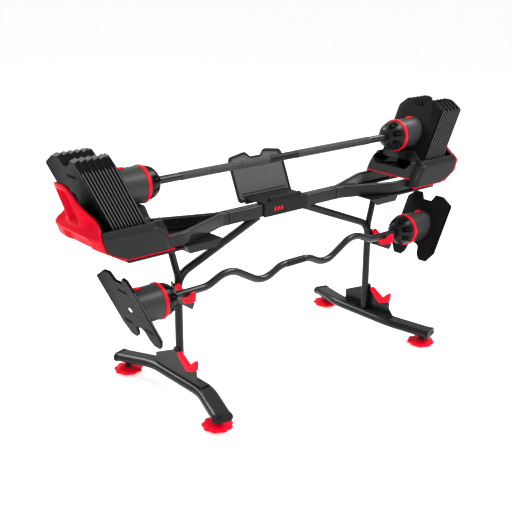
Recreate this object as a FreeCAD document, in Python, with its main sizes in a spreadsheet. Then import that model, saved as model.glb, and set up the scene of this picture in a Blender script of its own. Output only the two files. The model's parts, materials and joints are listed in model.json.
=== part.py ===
import FreeCAD, Part
import math
import os
import re
import Sketcher

# Adjustable barbell and curl bar on a two-legged stand with a media rack.
# X runs along the bars, +Y to the rear, +Z up; the origin is on the floor
# under the middle of the stand.  Lengths are in millimetres.
SIZES = {
    # base tubes and feet
    "leg_inset": 234.0,            # from a leg out to the end plate's inner face
    "base_splay": 54.0,            # how much further out a base tube's ends lie
    "base_drop": 13.0,             # how much lower its ends lie
    "base_half": 310.0,            # Y of a base tube's end
    "base_straight": 150.0,        # Y where a base tube starts to bend
    "base_bend": 260.0,
    "base_axis": 70.0,             # height of the tube's middle
    "tube_wide": 72.0,
    "tube_tall": 31.0,
    "tube_wall": 2.5,
    "cap_lip": 2.0,
    "cap_thick": 10.0,
    "cap_border": 7.5,             # around the recess in a cap's face
    "foot_out": 47.0,              # from a leg out to its feet
    "foot_back": 278.0,
    "foot_radius": 48.0,
    "foot_rise": 13.0,
    "foot_pad_radius": 34.0,
    "foot_pad_rise": 5.0,
    "foot_lobes": 9.0,
    "foot_scallop": 11.0,
    "stud_radius": 6.0,
    "stud_length": 30.0,
    "boss_radius": 12.0,
    "boss_base": 32.0,
    "boss_top": 56.0,
    # legs
    "upright_radius": 15.0,
    "upright_wall": 2.0,
    "knee_drop": 147.0,            # from the beams' underside down to the knee
    "knee_bend": 70.0,
    "brace_slope": 22.0,           # degrees above level
    "branch_radius": 13.0,
    "branch_drop": 26.0,           # from the knee down to the branch's foot
    "branch_lean": 38.0,
    "saddle_in": 110.0,            # saddle's inner and outer ends, from the leg
    "saddle_out": 44.0,
    "saddle_half": 118.0,
    "saddle_tall": 27.0,
    "saddle_wall": 4.0,
    "saddle_taper": 30.0,
    # beams
    "beam_wide": 20.0,
    "beam_tall": 47.0,
    "beam_top": 652.0,
    "beam_wall": 2.0,
    "beam_gap": 2.0,               # between front and rear beam in the middle
    "seam_inset": 32.0,            # from the beams' joint out to where they part
    "splay_start": 182.0,          # from the leg in to where the beams part
    "splay_end": 38.0,             # from the leg out to where they run level again
    "splay_back": 97.0,            # Y of a beam's axis under the tray
    "beam_bend": 130.0,
    "beam_past": 112.0,            # how far a beam runs on under its tray
    "rail_past": 162.0,
    "rail_wide": 42.0,
    "rail_thick": 8.0,
    # media rack
    "rack_half": 132.0,
    "rack_tall": 168.0,
    "rack_horn": 20.0,
    "rack_thick": 9.0,
    "rack_lean": 23.5,             # degrees back from upright
    "rack_back": 86.0,
    "rack_drop": 15.0,             # the board's lower edge below the beams' top
    "rack_border": 9.0,
    "rack_recess": 3.0,
    "rack_corner": 10.0,
    "rack_notch": 26.0,            # half of the gap between the horns
    "shelf_half": 108.0,
    "shelf_lip_half": 78.0,
    "shelf_front": 28.0,
    "shelf_thick": 6.0,
    "shelf_lip": 16.0,
    "shelf_lip_thick": 12.0,
    "shelf_skirt": 48.0,
    # hooks
    "hook_gap": 0.5,               # between upright and hook plate
    "hook_thick": 4.0,
    "hook_reach": 84.0,            # how far in front of the uprights a lower hook's bottom is
    "hook_low": 150.0,             # height of a lower hook's bottom
    "hook_step": 5.0,              # how much nearer the middle hooks are
    "hook_rise": 257.0,            # how much higher the middle hooks are
    "hook_back_run": 58.0,
    "hook_back_rise": 34.0,
    "hook_tip_run": 36.0,
    "hook_tip_rise": 32.0,
    "hook_rim": 7.0,
    "hook_body": 26.0,
    "liner_wide": 16.0,
    "gusset_half": 126.0,
    "gusset_nose": 22.0,           # how much further the front foot reaches
    "gusset_top": 42.0,            # plate above the hook's bottom, at the upright
    "bracket_drop": 36.0,          # middle plate below its hook's bottom
    "flange_wide": 36.0,
    # bars
    "grip_radius": 14.0,
    "knurl_proud": 1.2,
    "knurl_start": 70.0,
    "knurl_inset": 21.0,           # from the knurling's outer end to the leg
    "groove_one": 199.0,
    "groove_two": 335.0,
    "groove_wide": 3.0,
    "curl_middle": 70.0,           # half of the curl bar's level middle grip
    "curl_low": 160.0,
    "curl_high": 314.0,
    "curl_flat": 412.0,
    "curl_wave": 43.0,
    "curl_bend": 52.0,
    # weight heads, measured inward from the end plate's inner face
    "head_reach": 716.0,           # X where an end plate's inner face meets the axis
    "knob_in": 158.0,
    "knob_inset": 2.0,             # knob's rim inside the barrel's skin
    "knob_hub": 26.0,
    "knob_step": 14.0,             # length of the hub's cone
    "knob_rim": 14.0,
    "knob_flutes": 8.0,
    "flute_wide": 16.0,
    "flute_deep": 9.0,
    "barrel_in": 100.0,
    "barrel_radius": 62.0,
    "barrel_wall": 5.0,
    "barrel_floor": 8.0,
    "ring_proud": 3.0,
    "ring_wide": 12.0,
    "tab_long": 34.0,
    "tab_wide": 16.0,
    "tab_proud": 5.0,
    "tab_root": 10.0,
    "tab_inset": 42.0,             # from the end plate's top edge to the tab's middle
    "rod_radius": 4.0,
    "rod_spread": 30.0,
    "yoke_in": 76.0,
    "yoke_thick": 6.0,
    "shaft_in": 82.0,
    "lean": 22.5,                  # degrees that every plate leans outward
    "end_thick": 10.7,
    "plate_thick": 20.7,
    "plate_count": 5.0,
    "plate_half": 117.0,
    "plate_top": 142.0,
    "plate_bottom": 140.0,
    "notch_half": 24.0,
    "notch_deep": 28.0,
    "notch_slope": 15.0,
    "slot_half": 28.0,
    "slot_deep": 62.0,
    "wing_cut": 32.0,
    "rib_groove": 4.0,
    # trays; their outer ends are measured from the stack's outer face at the axis
    "tray_in": 128.0,              # inner end, inward from the end plate's inner face
    "tray_play": 26.0,             # plate's edge to the tray's side
    "tray_skirt": 32.0,            # apron's lower edge below the beams' top
    "tray_rim": 90.0,              # rim and crease below the bar's axis
    "tray_crease": 110.0,
    "tray_wall": 11.0,
    "tray_floor": 5.0,
    "tray_corner": 42.0,
    "tray_low": -58.0,
    "tray_mid": 4.0,
    "tray_top": 21.0,
    "crown_out": 88.0,
    "crown_rise": 50.0,            # top of the raised outer wall above the bar's axis
    "crown_half": 46.0,
    "crown_shoulder": 70.0,
    "crown_thick": 9.0,
    "bay_rise": 18.3,              # the floor under the plates above the tray's shell
    "block_deep": 60.0,            # the tray's inner block under a barrel
    "block_gap": 1.5,
    "cup_radius": 36.0,
    "cup_reach": 64.0,
    "cup_deep": 48.0,
    "shell_thick": 4.0,
    # fits and fasteners
    "slide_gap": 0.4,              # between plates and what they stand on or beside
    "running_gap": 0.05,
    "past": 10.0,                  # how far a cut runs on beyond the faces it opens
    "bolt_radius": 6.5,
    "bolt_head": 5.0,
}

# Places that follow from the sizes.
TIED = {
    "leg_reach": "head_reach - leg_inset",
    "foot_reach": "leg_reach + foot_out",
    "tube_top": "base_axis + tube_tall / 2",
    "under": "beam_top - beam_tall",
    "knee": "under - knee_drop",
    "splay_from": "leg_reach - splay_start",
    "seam": "splay_from - seam_inset",
    "pair_half": "(beam_wide + beam_gap) / 2",
    "hook_face": "leg_reach + upright_radius + hook_gap",
    "back_slope": "atan(hook_back_rise / hook_back_run)",
    "tip_slope": "atan(hook_tip_rise / hook_tip_run)",
    "nest": "(grip_radius + slide_gap) / sin(back_slope + tip_slope)",
    "curl_out": "hook_step - hook_reach + nest * (cos(back_slope) - cos(tip_slope))",
    "curl_rise": "hook_low + hook_rise + nest * (sin(back_slope) + sin(tip_slope))",
    "knurl_radius": "grip_radius + knurl_proud",
    "knob_start": "head_reach - knob_in",
    "knob_radius": "barrel_radius - knob_inset",
    "knob_back": "barrel_start - slide_gap",
    "barrel_start": "head_reach - barrel_in",
    "ring_radius": "barrel_radius + ring_proud",
    "yoke_start": "head_reach - yoke_in",
    "shaft_end": "head_reach - shaft_in",
    "first_plate": "head_reach + (end_thick + slide_gap) / cos(lean)",
    "plate_pitch": "(plate_thick + slide_gap) / cos(lean)",
    "stack_out": "first_plate + plate_count * plate_pitch",
    "seat": "beam_top + shell_thick",
    "bay": "seat + bay_rise",
    "straight_rise": "bay + plate_bottom * cos(lean) + plate_thick * sin(lean) + slide_gap",
    "tray_end": "head_reach - tray_in",
    "tray_half": "plate_half + tray_play",
    "skirt": "beam_top - tray_skirt",
    "rim": "straight_rise - tray_rim",
    "crease": "straight_rise - tray_crease",
    "crown": "straight_rise + crown_rise",
    "block_top": "straight_rise - ring_radius - block_gap",
}

DOC = FreeCAD.newDocument("barbell_station")
SHEET = DOC.addObject("Spreadsheet::Sheet", "Sizes")
for row, (alias, number) in enumerate(SIZES.items(), start=1):
    SHEET.set(f"A{row}", alias)
    SHEET.set(f"B{row}", repr(number))
    SHEET.setAlias(f"B{row}", alias)
DOC.recompute()
PARTS = []


def spelt_out(text):
    """The expression in terms of the sheet's own sizes."""
    return re.sub(r"[a-z_]+", lambda word: f"({spelt_out(TIED[word.group()])})"
                  if word.group() in TIED else word.group(), str(text))


def linked(text):
    """The expression with every size written as a reference to the sheet."""
    def reference(match):
        word = match.group()
        return "Sizes." + word if word in SIZES else word
    return re.sub(r"[a-z_]+", reference, spelt_out(text))


def value(text):
    """The expression's number now."""
    number = SHEET.evalExpression(spelt_out(text))
    return float(getattr(number, "Value", number))


def body(label, x="0", y="0", z="0", axis=(0, 1, 0), turn="0"):
    """An empty body whose place follows the sheet."""
    piece = DOC.addObject("PartDesign::Body", label)
    piece.Label = label
    spin = FreeCAD.Rotation(FreeCAD.Vector(*axis), value(turn))
    piece.Placement = FreeCAD.Placement(FreeCAD.Vector(value(x), value(y), value(z)), spin)
    for name, text in (("x", x), ("y", y), ("z", z)):
        piece.setExpression(f".Placement.Base.{name}", linked(text))
    if turn != "0":
        piece.setExpression(".Placement.Rotation.Angle", f"({linked(turn)}) * 1 deg")
    PARTS.append(piece)
    return piece


def together(label, pieces):
    """Alike pieces that share one node."""
    group = DOC.addObject("Part::Compound", label)
    group.Label = label
    group.Links = pieces
    for piece in pieces:
        PARTS.remove(piece)
    PARTS.append(group)


def sketch(piece, plane, shift="0"):
    """An empty sketch on one of the body's planes, moved along the plane's normal."""
    drawing = piece.newObject("Sketcher::SketchObject", f"{piece.Name}_sketch")
    support = [item for item in piece.Origin.OriginFeatures if item.Role == f"{plane}_Plane"]
    drawing.AttachmentSupport = [(support[0], "")]
    drawing.MapMode = "FlatFace"
    if shift != "0":
        drawing.setExpression(".AttachmentOffset.Base.z", linked(shift))
    return drawing


def hold(drawing, kind, item, point, text):
    """Fix one coordinate of a point of the sketch to an expression."""
    index = drawing.addConstraint(Sketcher.Constraint(kind, -1, 1, item, point, value(text)))
    drawing.setExpression(f"Constraints[{index}]", linked(text))


def polygon(drawing, corners):
    """A closed outline through corners given as pairs of expressions."""
    spots = [FreeCAD.Vector(value(u), value(v), 0) for u, v in corners]
    first = drawing.GeometryCount
    for start, end in zip(spots, spots[1:] + spots[:1]):
        drawing.addGeometry(Part.LineSegment(start, end))
    count = len(spots)
    for index, (u, v) in enumerate(corners):
        follower = first + (index + 1) % count
        drawing.addConstraint(Sketcher.Constraint("Coincident", first + index, 2, follower, 1))
        hold(drawing, "DistanceX", first + index, 1, u)
        hold(drawing, "DistanceY", first + index, 1, v)


def rectangle(drawing, left, right, low, high):
    polygon(drawing, [(left, low), (right, low), (right, high), (left, high)])


def circle(drawing, u, v, radius):
    centre = FreeCAD.Vector(value(u), value(v), 0)
    item = drawing.addGeometry(Part.Circle(centre, FreeCAD.Vector(0, 0, 1), value(radius)))
    hold(drawing, "DistanceX", item, 3, u)
    hold(drawing, "DistanceY", item, 3, v)
    index = drawing.addConstraint(Sketcher.Constraint("Radius", item, value(radius)))
    drawing.setExpression(f"Constraints[{index}]", linked(radius))


def racetrack(drawing, half_wide, half_tall):
    """A flat oval about the origin: two level sides and two round ends."""
    radius = value(half_tall)
    run = value(half_wide) - radius
    flats = [Part.LineSegment(FreeCAD.Vector(sign * run, sign * radius, 0),
                              FreeCAD.Vector(-sign * run, sign * radius, 0)) for sign in (1, -1)]
    rounds = [Part.Circle(FreeCAD.Vector(sign * run, 0, 0), FreeCAD.Vector(0, 0, 1), radius)
              for sign in (-1, 1)]
    quarter = math.pi / 2
    top = drawing.addGeometry(flats[0])
    low = drawing.addGeometry(flats[1])
    left = drawing.addGeometry(Part.ArcOfCircle(rounds[0], quarter, 3 * quarter))
    right = drawing.addGeometry(Part.ArcOfCircle(rounds[1], -quarter, quarter))
    for one, other in ((top, left), (left, low), (low, right), (right, top)):
        drawing.addConstraint(Sketcher.Constraint("Tangent", one, 2, other, 1))
    drawing.addConstraint(Sketcher.Constraint("Horizontal", top))
    hold(drawing, "DistanceX", right, 3, f"({half_wide}) - ({half_tall})")
    hold(drawing, "DistanceX", left, 3, f"({half_tall}) - ({half_wide})")
    hold(drawing, "DistanceY", right, 3, "0")
    index = drawing.addConstraint(Sketcher.Constraint("Radius", right, radius))
    drawing.setExpression(f"Constraints[{index}]", linked(half_tall))


def route(drawing, corners, radius):
    """A path of straight runs whose inner corners are rounded by tangent arcs."""
    spots = [FreeCAD.Vector(value(u), value(v), 0) for u, v in corners]
    bend = value(radius)
    pen = spots[0]
    for before, corner, after in zip(spots, spots[1:], spots[2:]):
        back = (before - corner).normalize()
        ahead = (after - corner).normalize()
        half = back.getAngle(ahead) / 2
        start = corner + back * (bend / math.tan(half))
        end = corner + ahead * (bend / math.tan(half))
        middle = corner + (back + ahead).normalize() * (bend / math.sin(half) - bend)
        drawing.addGeometry(Part.LineSegment(pen, start))
        drawing.addGeometry(Part.Arc(start, middle, end))
        pen = end
    drawing.addGeometry(Part.LineSegment(pen, spots[-1]))
    for index in range(drawing.GeometryCount):
        drawing.addConstraint(Sketcher.Constraint("Block", index))


def pad(piece, drawing, length, side="Symmetric", reverse=False):
    step = piece.newObject("PartDesign::Pad", f"{piece.Name}_pad")
    step.Profile = drawing
    step.SideType = side
    step.Reversed = reverse
    step.setExpression("Length", linked(length))
    return step


def pocket(piece, drawing, length=None, side="Symmetric", reverse=False):
    """Cut the drawing's outline: right through, or to a length."""
    step = piece.newObject("PartDesign::Pocket", f"{piece.Name}_pocket")
    step.Profile = drawing
    step.SideType = side
    step.Reversed = reverse
    if length is None:
        step.Type = "ThroughAll"
    else:
        step.setExpression("Length", linked(length))
    return step


def revolve(piece, drawing, axis="H_Axis"):
    step = piece.newObject("PartDesign::Revolution", f"{piece.Name}_revolution")
    step.Profile = drawing
    step.ReferenceAxis = (drawing, [axis])
    step.Angle = 360
    return step


def pipe(piece, profile, spine):
    step = piece.newObject("PartDesign::AdditivePipe", f"{piece.Name}_pipe")
    step.Profile = profile
    step.Spine = (spine, [f"Edge{index + 1}" for index in range(spine.GeometryCount)])
    return step


def mirror(piece, step, plane):
    """Mirror a feature about one of the body's planes."""
    twin = piece.newObject("PartDesign::Mirrored", f"{piece.Name}_mirrored")
    support = [item for item in piece.Origin.OriginFeatures if item.Role == f"{plane}_Plane"]
    twin.Originals = [step]
    twin.MirrorPlane = (support[0], [""])
    piece.Tip = twin
    return twin


def ring_of(piece, step, axis, count):
    """Repeat a feature evenly around one of the body's axes."""
    DOC.recompute()
    pattern = piece.newObject("PartDesign::PolarPattern", f"{piece.Name}_pattern")
    support = [item for item in piece.Origin.OriginFeatures if item.Role == f"{axis}_Axis"]
    pattern.Originals = [step]
    pattern.Axis = (support[0], [""])
    pattern.Angle = 360
    pattern.setExpression("Occurrences", linked(count))
    piece.Tip = pattern
    return pattern


# ---- stand -------------------------------------------------------------------

def base_tube(name, side):
    """A flat-oval tube, raised in the middle and swept out and down to its ends."""
    slant = "atan(base_drop / base_splay)"
    piece = body(name, f"{side} * leg_reach", "0", "base_axis")
    section = sketch(piece, "XZ")
    racetrack(section, "tube_wide / 2", "tube_tall / 2")
    racetrack(section, "tube_wide / 2 - tube_wall", "tube_tall / 2 - tube_wall")
    path = sketch(piece, "XY")
    path.AttachmentOffset = FreeCAD.Placement(
        FreeCAD.Vector(), FreeCAD.Rotation(FreeCAD.Vector(0, 1, 0), side * value(slant)))
    reach = f"{side} * hypot(base_splay; base_drop)"
    route(path, [("0", "0"), ("0", "base_straight"), (reach, "base_half")], "base_bend")
    half = pipe(piece, section, path)
    mirror(piece, half, "XZ")
    bosses = sketch(piece, "XY", "boss_base - base_axis")
    for back in (-1, 1):
        circle(bosses, f"{side} * (foot_reach - leg_reach)", f"{back} * foot_back", "boss_radius")
    pad(piece, bosses, "boss_top - boss_base", "One side")
    holes = sketch(piece, "XY", "boss_base - base_axis")
    for back in (-1, 1):
        circle(holes, f"{side} * (foot_reach - leg_reach)", f"{back} * foot_back",
               "stud_radius + running_gap")
    pocket(piece, holes, "boss_top - boss_base", "One side", True)


def base_caps(name, side):
    """Plastic end caps on both ends of one base tube."""
    caps = []
    tilt = FreeCAD.Rotation(FreeCAD.Vector(0, 1, 0), side * value("atan(base_drop / base_splay)"))
    turn = value("atan(hypot(base_splay; base_drop) / (base_half - base_straight))")
    for back, end in ((-1, "front"), (1, "rear")):
        spin = FreeCAD.Rotation(FreeCAD.Vector(0, 0, 1), -side * back * turn)
        facing = tilt.multiply(spin).multiply(tilt.inverted())
        piece = body(f"{name}_{end}", f"{side} * (leg_reach + base_splay)", f"{back} * base_half",
                     "base_axis - base_drop", tuple(facing.Axis), str(math.degrees(facing.Angle)))
        face = sketch(piece, "XZ")
        racetrack(face, "tube_wide / 2 + cap_lip", "tube_tall / 2 + cap_lip")
        pad(piece, face, "cap_thick", "One side", back > 0)
        dish = sketch(piece, "XZ", f"{-back} * cap_thick")
        racetrack(dish, "tube_wide / 2 - cap_border", "tube_tall / 2 - cap_border")
        pocket(piece, dish, "cap_thick / 3", "One side", back < 0)
        caps.append(piece)
    together(name, caps)


def foot(name, side, back):
    """A lobed levelling foot with its threaded stud."""
    piece = body(name, f"{side} * foot_reach", f"{back} * foot_back", "0")
    base = sketch(piece, "XY")
    circle(base, "0", "0", "foot_pad_radius")
    pad(piece, base, "foot_pad_rise", "One side")
    knob = sketch(piece, "XY", "foot_pad_rise")
    circle(knob, "0", "0", "foot_radius")
    pad(piece, knob, "foot_rise", "One side")
    stud = sketch(piece, "XY", "foot_pad_rise + foot_rise")
    circle(stud, "0", "0", "stud_radius")
    pad(piece, stud, "stud_length", "One side")
    scallop = sketch(piece, "XY", "foot_pad_rise")
    circle(scallop, "foot_radius + foot_scallop / 2", "0", "foot_scallop")
    cut = pocket(piece, scallop, "foot_rise", "One side", True)
    ring_of(piece, cut, "Z", "foot_lobes")


def leg(name, side):
    """Upright, inward brace, outward branch and the saddle under the beams, welded."""
    piece = body(name)
    run = "knee_drop / tan(brace_slope)"
    saddle = sketch(piece, "XZ")
    saddle_outline(saddle, side, "under", "0")
    pad(piece, saddle, "2 * saddle_half")
    hollow = sketch(piece, "XZ")
    saddle_outline(hollow, side, "under - saddle_wall", "saddle_wall")
    pocket(piece, hollow, "2 * (saddle_half - saddle_wall)")
    section = sketch(piece, "XY", "tube_top")
    circle(section, f"{side} * leg_reach", "0", "upright_radius")
    circle(section, f"{side} * leg_reach", "0", "upright_radius - upright_wall")
    path = sketch(piece, "XZ")
    route(path, [(f"{side} * leg_reach", "tube_top"), (f"{side} * leg_reach", "knee"),
                 (f"{side} * (leg_reach - {run})", "under")], "knee_bend")
    pipe(piece, section, path)
    section = sketch(piece, "XY", "knee - branch_drop")
    circle(section, f"{side} * leg_reach", "0", "branch_radius")
    path = sketch(piece, "XZ")
    route(path, [(f"{side} * leg_reach", "knee - branch_drop"),
                 (f"{side} * leg_reach", "knee"),
                 (f"{side} * (leg_reach + branch_lean)", "under")], "knee_bend")
    pipe(piece, section, path)
    trim = sketch(piece, "XZ")
    rectangle(trim, f"{side} * (leg_reach + saddle_out)", "0", "under", "beam_top")
    pocket(piece, trim)


def saddle_outline(drawing, side, top, inset):
    """The saddle's tapering front view, drawn in by its wall for the hollow."""
    near = f"leg_reach - saddle_in + {inset}"
    far = f"leg_reach + saddle_out - {inset}"
    low = f"{top} - saddle_tall"
    polygon(drawing, [(f"{side} * ({near})", top), (f"{side} * ({far})", top),
                      (f"{side} * ({far} - saddle_taper / 2)", low),
                      (f"{side} * ({near} + saddle_taper)", low)])


def centre_beams(name):
    """The two middle lengths of beam, side by side."""
    beams = []
    for back, end in ((-1, "front"), (1, "rear")):
        piece = body(f"{name}_{end}", "0", f"{back} * pair_half",
                     "beam_top - beam_tall / 2")
        section = sketch(piece, "YZ")
        rectangle(section, "-beam_wide / 2", "beam_wide / 2", "-beam_tall / 2", "beam_tall / 2")
        rectangle(section, "beam_wall - beam_wide / 2", "beam_wide / 2 - beam_wall",
                  "beam_wall - beam_tall / 2", "beam_tall / 2 - beam_wall")
        pad(piece, section, "2 * seam")
        beams.append(piece)
    together(name, beams)


def beam_arm(name, side, back):
    """A bowed beam from the seam out to under the tray, with the rail welded under it."""
    piece = body(name, "0", "0", "beam_top - beam_tall / 2")
    inner = f"{back} * pair_half"
    section = sketch(piece, "YZ", f"{side} * seam")
    for inset in ("0", "beam_wall"):
        rectangle(section, f"{inner} - beam_wide / 2 + {inset}", f"{inner} + beam_wide / 2 - {inset}",
                  f"{inset} - beam_tall / 2", f"beam_tall / 2 - {inset}")
    path = sketch(piece, "XY")
    route(path, [(f"{side} * seam", inner), (f"{side} * splay_from", inner),
                 (f"{side} * (leg_reach + splay_end)", f"{back} * splay_back"),
                 (f"{side} * (tray_end + beam_past)", f"{back} * splay_back")], "beam_bend")
    pipe(piece, section, path)
    rail = sketch(piece, "XY", "-beam_tall / 2")
    rectangle(rail, f"{side} * (leg_reach + saddle_out + slide_gap)", f"{side} * (tray_end + rail_past)",
              f"{back} * splay_back - rail_wide / 2", f"{back} * splay_back + rail_wide / 2")
    pad(piece, rail, "rail_thick", "One side", True)
    return piece


def hook_outline(reach, low):
    """The liner's side view: back slope, bottom of the hook and its raised tip."""
    back = f"hook_back_run - ({reach})"
    tip = f"-({reach}) - hook_tip_run"
    return [
        (back, f"{low} + hook_back_rise"),
        (f"-({reach})", low),
        (tip, f"{low} + hook_tip_rise"),
        (f"{tip} - hook_rim", f"{low} + hook_tip_rise - hook_rim"),
        (f"{tip} - hook_rim / 2", f"{low} - hook_rim"),
        (f"-({reach}) + hook_body / 2", f"{low} - hook_body"),
        (f"{back} + hook_rim", f"{low} + hook_back_rise - 2 * hook_rim"),
    ]


def hook_liner(name, side, reach, low):
    """The moulded V that a bar lies in."""
    piece = body(name, f"{side} * (hook_face + hook_thick / 2)")
    profile = sketch(piece, "YZ")
    polygon(profile, hook_outline(reach, low))
    pad(piece, profile, "liner_wide")


def low_hook_plate(name, side):
    """A folded gusset: an upright plate outside the leg and a foot on the base tube."""
    piece = body(name, f"{side} * hook_face")
    liner = hook_outline("hook_reach", "hook_low")
    front = "-gusset_half - gusset_nose"
    plate = sketch(piece, "YZ")
    polygon(plate, [
        ("gusset_half", "tube_top"), ("gusset_half", "hook_low - gusset_nose"),
        ("upright_radius", "hook_low + 2 * gusset_top / 3"), ("upright_radius / 2", "hook_low + gusset_top"),
        ("-upright_radius", "hook_low + gusset_top"), liner[6], liner[5], liner[4],
        (liner[4][0], "hook_low - bracket_drop"), (front, "tube_top"),
    ])
    pad(piece, plate, "hook_thick", "One side", side < 0)
    flange = sketch(piece, "XY", "tube_top")
    for near, far in ((front, "-2 * upright_radius"), ("2 * upright_radius", "gusset_half")):
        rectangle(flange, "0", f"{-side} * flange_wide", near, far)
    pad(piece, flange, "hook_thick", "One side")


def middle_hook_plate(name, side, reach, low):
    """The bracket half way up the leg that carries the curl bar's hook."""
    piece = body(name, f"{side} * hook_face")
    liner = hook_outline(reach, low)
    foot = f"{low} - bracket_drop"
    plate = sketch(piece, "YZ")
    polygon(plate, [
        ("upright_radius", foot), ("upright_radius", f"{low} + hook_back_rise"),
        liner[6], liner[5], liner[4],
        (liner[4][0], f"{foot} + 2 * bracket_drop / 3"), (f"{liner[4][0]} + bracket_drop / 3", foot),
    ])
    pad(piece, plate, "hook_thick", "One side", side < 0)


def bolt(x, y, z, axis=(0, 1, 0), turn="0"):
    """The head of a hexagon bolt, standing on its local XY plane."""
    piece = body("bolt", x, y, z, axis, turn)
    head = sketch(piece, "XY")
    polygon(head, [(f"bolt_radius * cos({60 * k})", f"bolt_radius * sin({60 * k})") for k in range(6)])
    pad(piece, head, "bolt_head", "One side")
    return piece


def bolts(name):
    """Bolts of the hook plates, of their feet and of the tray rails."""
    heads = []
    for side in (-1, 1):
        plate_face = f"{side} * (hook_face + hook_thick)"
        for height in ("hook_low + gusset_top - 2 * bolt_radius", "hook_low + hook_rise + 3 * bolt_radius"):
            heads.append(bolt(plate_face, "0", height, (0, 1, 0), f"{side} * 90"))
        for back in (-1, 1):
            heads.append(bolt(f"{side} * (hook_face - flange_wide / 2)", f"{back} * 3 * gusset_half / 4",
                              "tube_top + hook_thick"))
            heads.append(bolt(f"{side} * (tray_end + beam_past)", f"{back} * splay_back",
                              "under - rail_thick", (1, 0, 0), "180"))
    together(name, heads)


# ---- trays -------------------------------------------------------------------

def tray_outer_line(side, inset="0"):
    """The outer end of a tray in front view, from its skirt up to its crown."""
    rises = {"tray_low": "skirt", "tray_mid": "seat", "tray_top": "crease", "crown_out": "crown"}
    return [(f"{side} * (stack_out + {out} - ({inset}))", rise) for out, rise in rises.items()]


def crown_cut(piece):
    """Trim a tray to its rims and its raised middle, seen along the bars."""
    for back in (-1, 1):
        drawing = sketch(piece, "YZ")
        polygon(drawing, [
            (f"{back} * crown_half", "crown + past"), (f"{back} * crown_half", "crown"),
            (f"{back} * crown_shoulder", "(crown + rim) / 2"),
            (f"{back} * (tray_half - tray_wall)", "rim"), (f"{back} * tray_half", "crease"),
            (f"{back} * (tray_half + past)", "crease"), (f"{back} * (tray_half + past)", "crown + past")])
        pocket(piece, drawing)


def tray_shell(name, side):
    """The lower shell: a floor on the beams, skirts, and the raised outer end."""
    piece = body(name)
    outer = tray_outer_line(side)
    inner = tray_outer_line(side, "crown_thick")
    wall = sketch(piece, "XZ")
    polygon(wall, outer + [inner[3], inner[2], inner[1],
                           (tray_outer_line(side, "3 * crown_thick")[1][0], "beam_top"),
                           tray_outer_line(side, "2 * crown_thick")[0]])
    pad(piece, wall, "2 * tray_half")
    crown_cut(piece)
    floor = sketch(piece, "XZ")
    rectangle(floor, f"{side} * (tray_end - shell_thick)", tray_outer_line(side, "2 * crown_thick")[1][0],
              "beam_top", "seat")
    pad(piece, floor, "2 * (tray_half - tray_wall)")
    skirts = sketch(piece, "YZ", f"{side} * tray_end")
    for back in (-1, 1):
        step = f"{back} * (tray_half - tray_wall)"
        web = f"{back} * (tray_half - tray_wall - shell_thick)"
        polygon(skirts, [(step, "seat"), (step, "skirt"), (f"{back} * tray_half", "skirt"),
                         (f"{back} * tray_half", "skirt - shell_thick"), (web, "skirt - shell_thick"),
                         (web, "seat")])
    pad(piece, skirts, "stack_out + tray_low - crown_thick - tray_end", "One side", side < 0)


def tray_liner(name, side):
    """The upper tub that the plates stand in, with cups in its inner block."""
    piece = body(name)
    near = f"{side} * tray_end"
    block = f"{side} * (tray_end + block_deep)"
    before = f"{side} * (tray_end - past)"
    line = tray_outer_line(side, "crown_thick")
    deep = tray_outer_line(side, "2 * crown_thick")
    deeper = tray_outer_line(side, "3 * crown_thick")
    profile = sketch(piece, "XZ")
    polygon(profile, [(near, "skirt"), deep[0], (deeper[1][0], "beam_top"), *line[1:], deep[3],
                      (near, "crown")])
    pad(piece, profile, "2 * tray_half")
    crown_cut(piece)
    over = sketch(piece, "XZ")
    rectangle(over, before, block, "block_top", "crown + past")
    pocket(piece, over, "4 * tray_half")
    round_off(piece, side)
    bay = sketch(piece, "XZ")
    polygon(bay, [(block, "bay"), (deeper[1][0], "bay"), deeper[2],
                  (deep[3][0], "crown + past"), (block, "crown + past")])
    pocket(piece, bay, "2 * (tray_half - tray_wall)")
    under = sketch(piece, "XZ")
    rectangle(under, before, tray_outer_line(side)[1][0], "skirt - past", "seat")
    pocket(piece, under, "2 * (tray_half - tray_wall)")
    core = sketch(piece, "XZ")
    rectangle(core, block, tray_outer_line(side, "5 * crown_thick")[1][0], "seat", "bay - tray_floor")
    pocket(piece, core, "2 * (tray_half - 2 * tray_wall)")
    cups = sketch(piece, "YZ", near)
    for back in (-1, 1):
        cup_outline(cups, back)
    pocket(piece, cups, "cup_deep", "One side", side > 0)


def round_off(piece, side):
    """Sweep the tub's inner corners outward, front and rear."""
    for back in (-1, 1):
        corner = sketch(piece, "XZ", f"{-back} * (tray_half - tray_wall)")
        polygon(corner, [
            (f"{side} * (tray_end - past)", "skirt + tray_corner / 2"),
            (f"{side} * (tray_end + tray_corner / 8)", "rim - 3 * tray_corner / 2"),
            (f"{side} * (tray_end + tray_corner / 3)", "rim - tray_corner / 2"),
            (f"{side} * (tray_end + tray_corner)", "rim + past"),
            (f"{side} * (tray_end - past)", "rim + past")])
        pocket(piece, corner, "2 * tray_wall", "One side", back < 0)


def cup_outline(drawing, back):
    """Half an octagon below, open above."""
    flat = "cup_radius * tan(lean)"
    middle = f"{back} * cup_reach"
    high = "block_top + past"
    polygon(drawing, [
        (f"{middle} - cup_radius", high), (f"{middle} - cup_radius", f"rim - {flat}"),
        (f"{middle} - {flat}", "rim - cup_radius"), (f"{middle} + {flat}", "rim - cup_radius"),
        (f"{middle} + cup_radius", f"rim - {flat}"), (f"{middle} + cup_radius", high)])


# ---- media rack --------------------------------------------------------------

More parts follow.
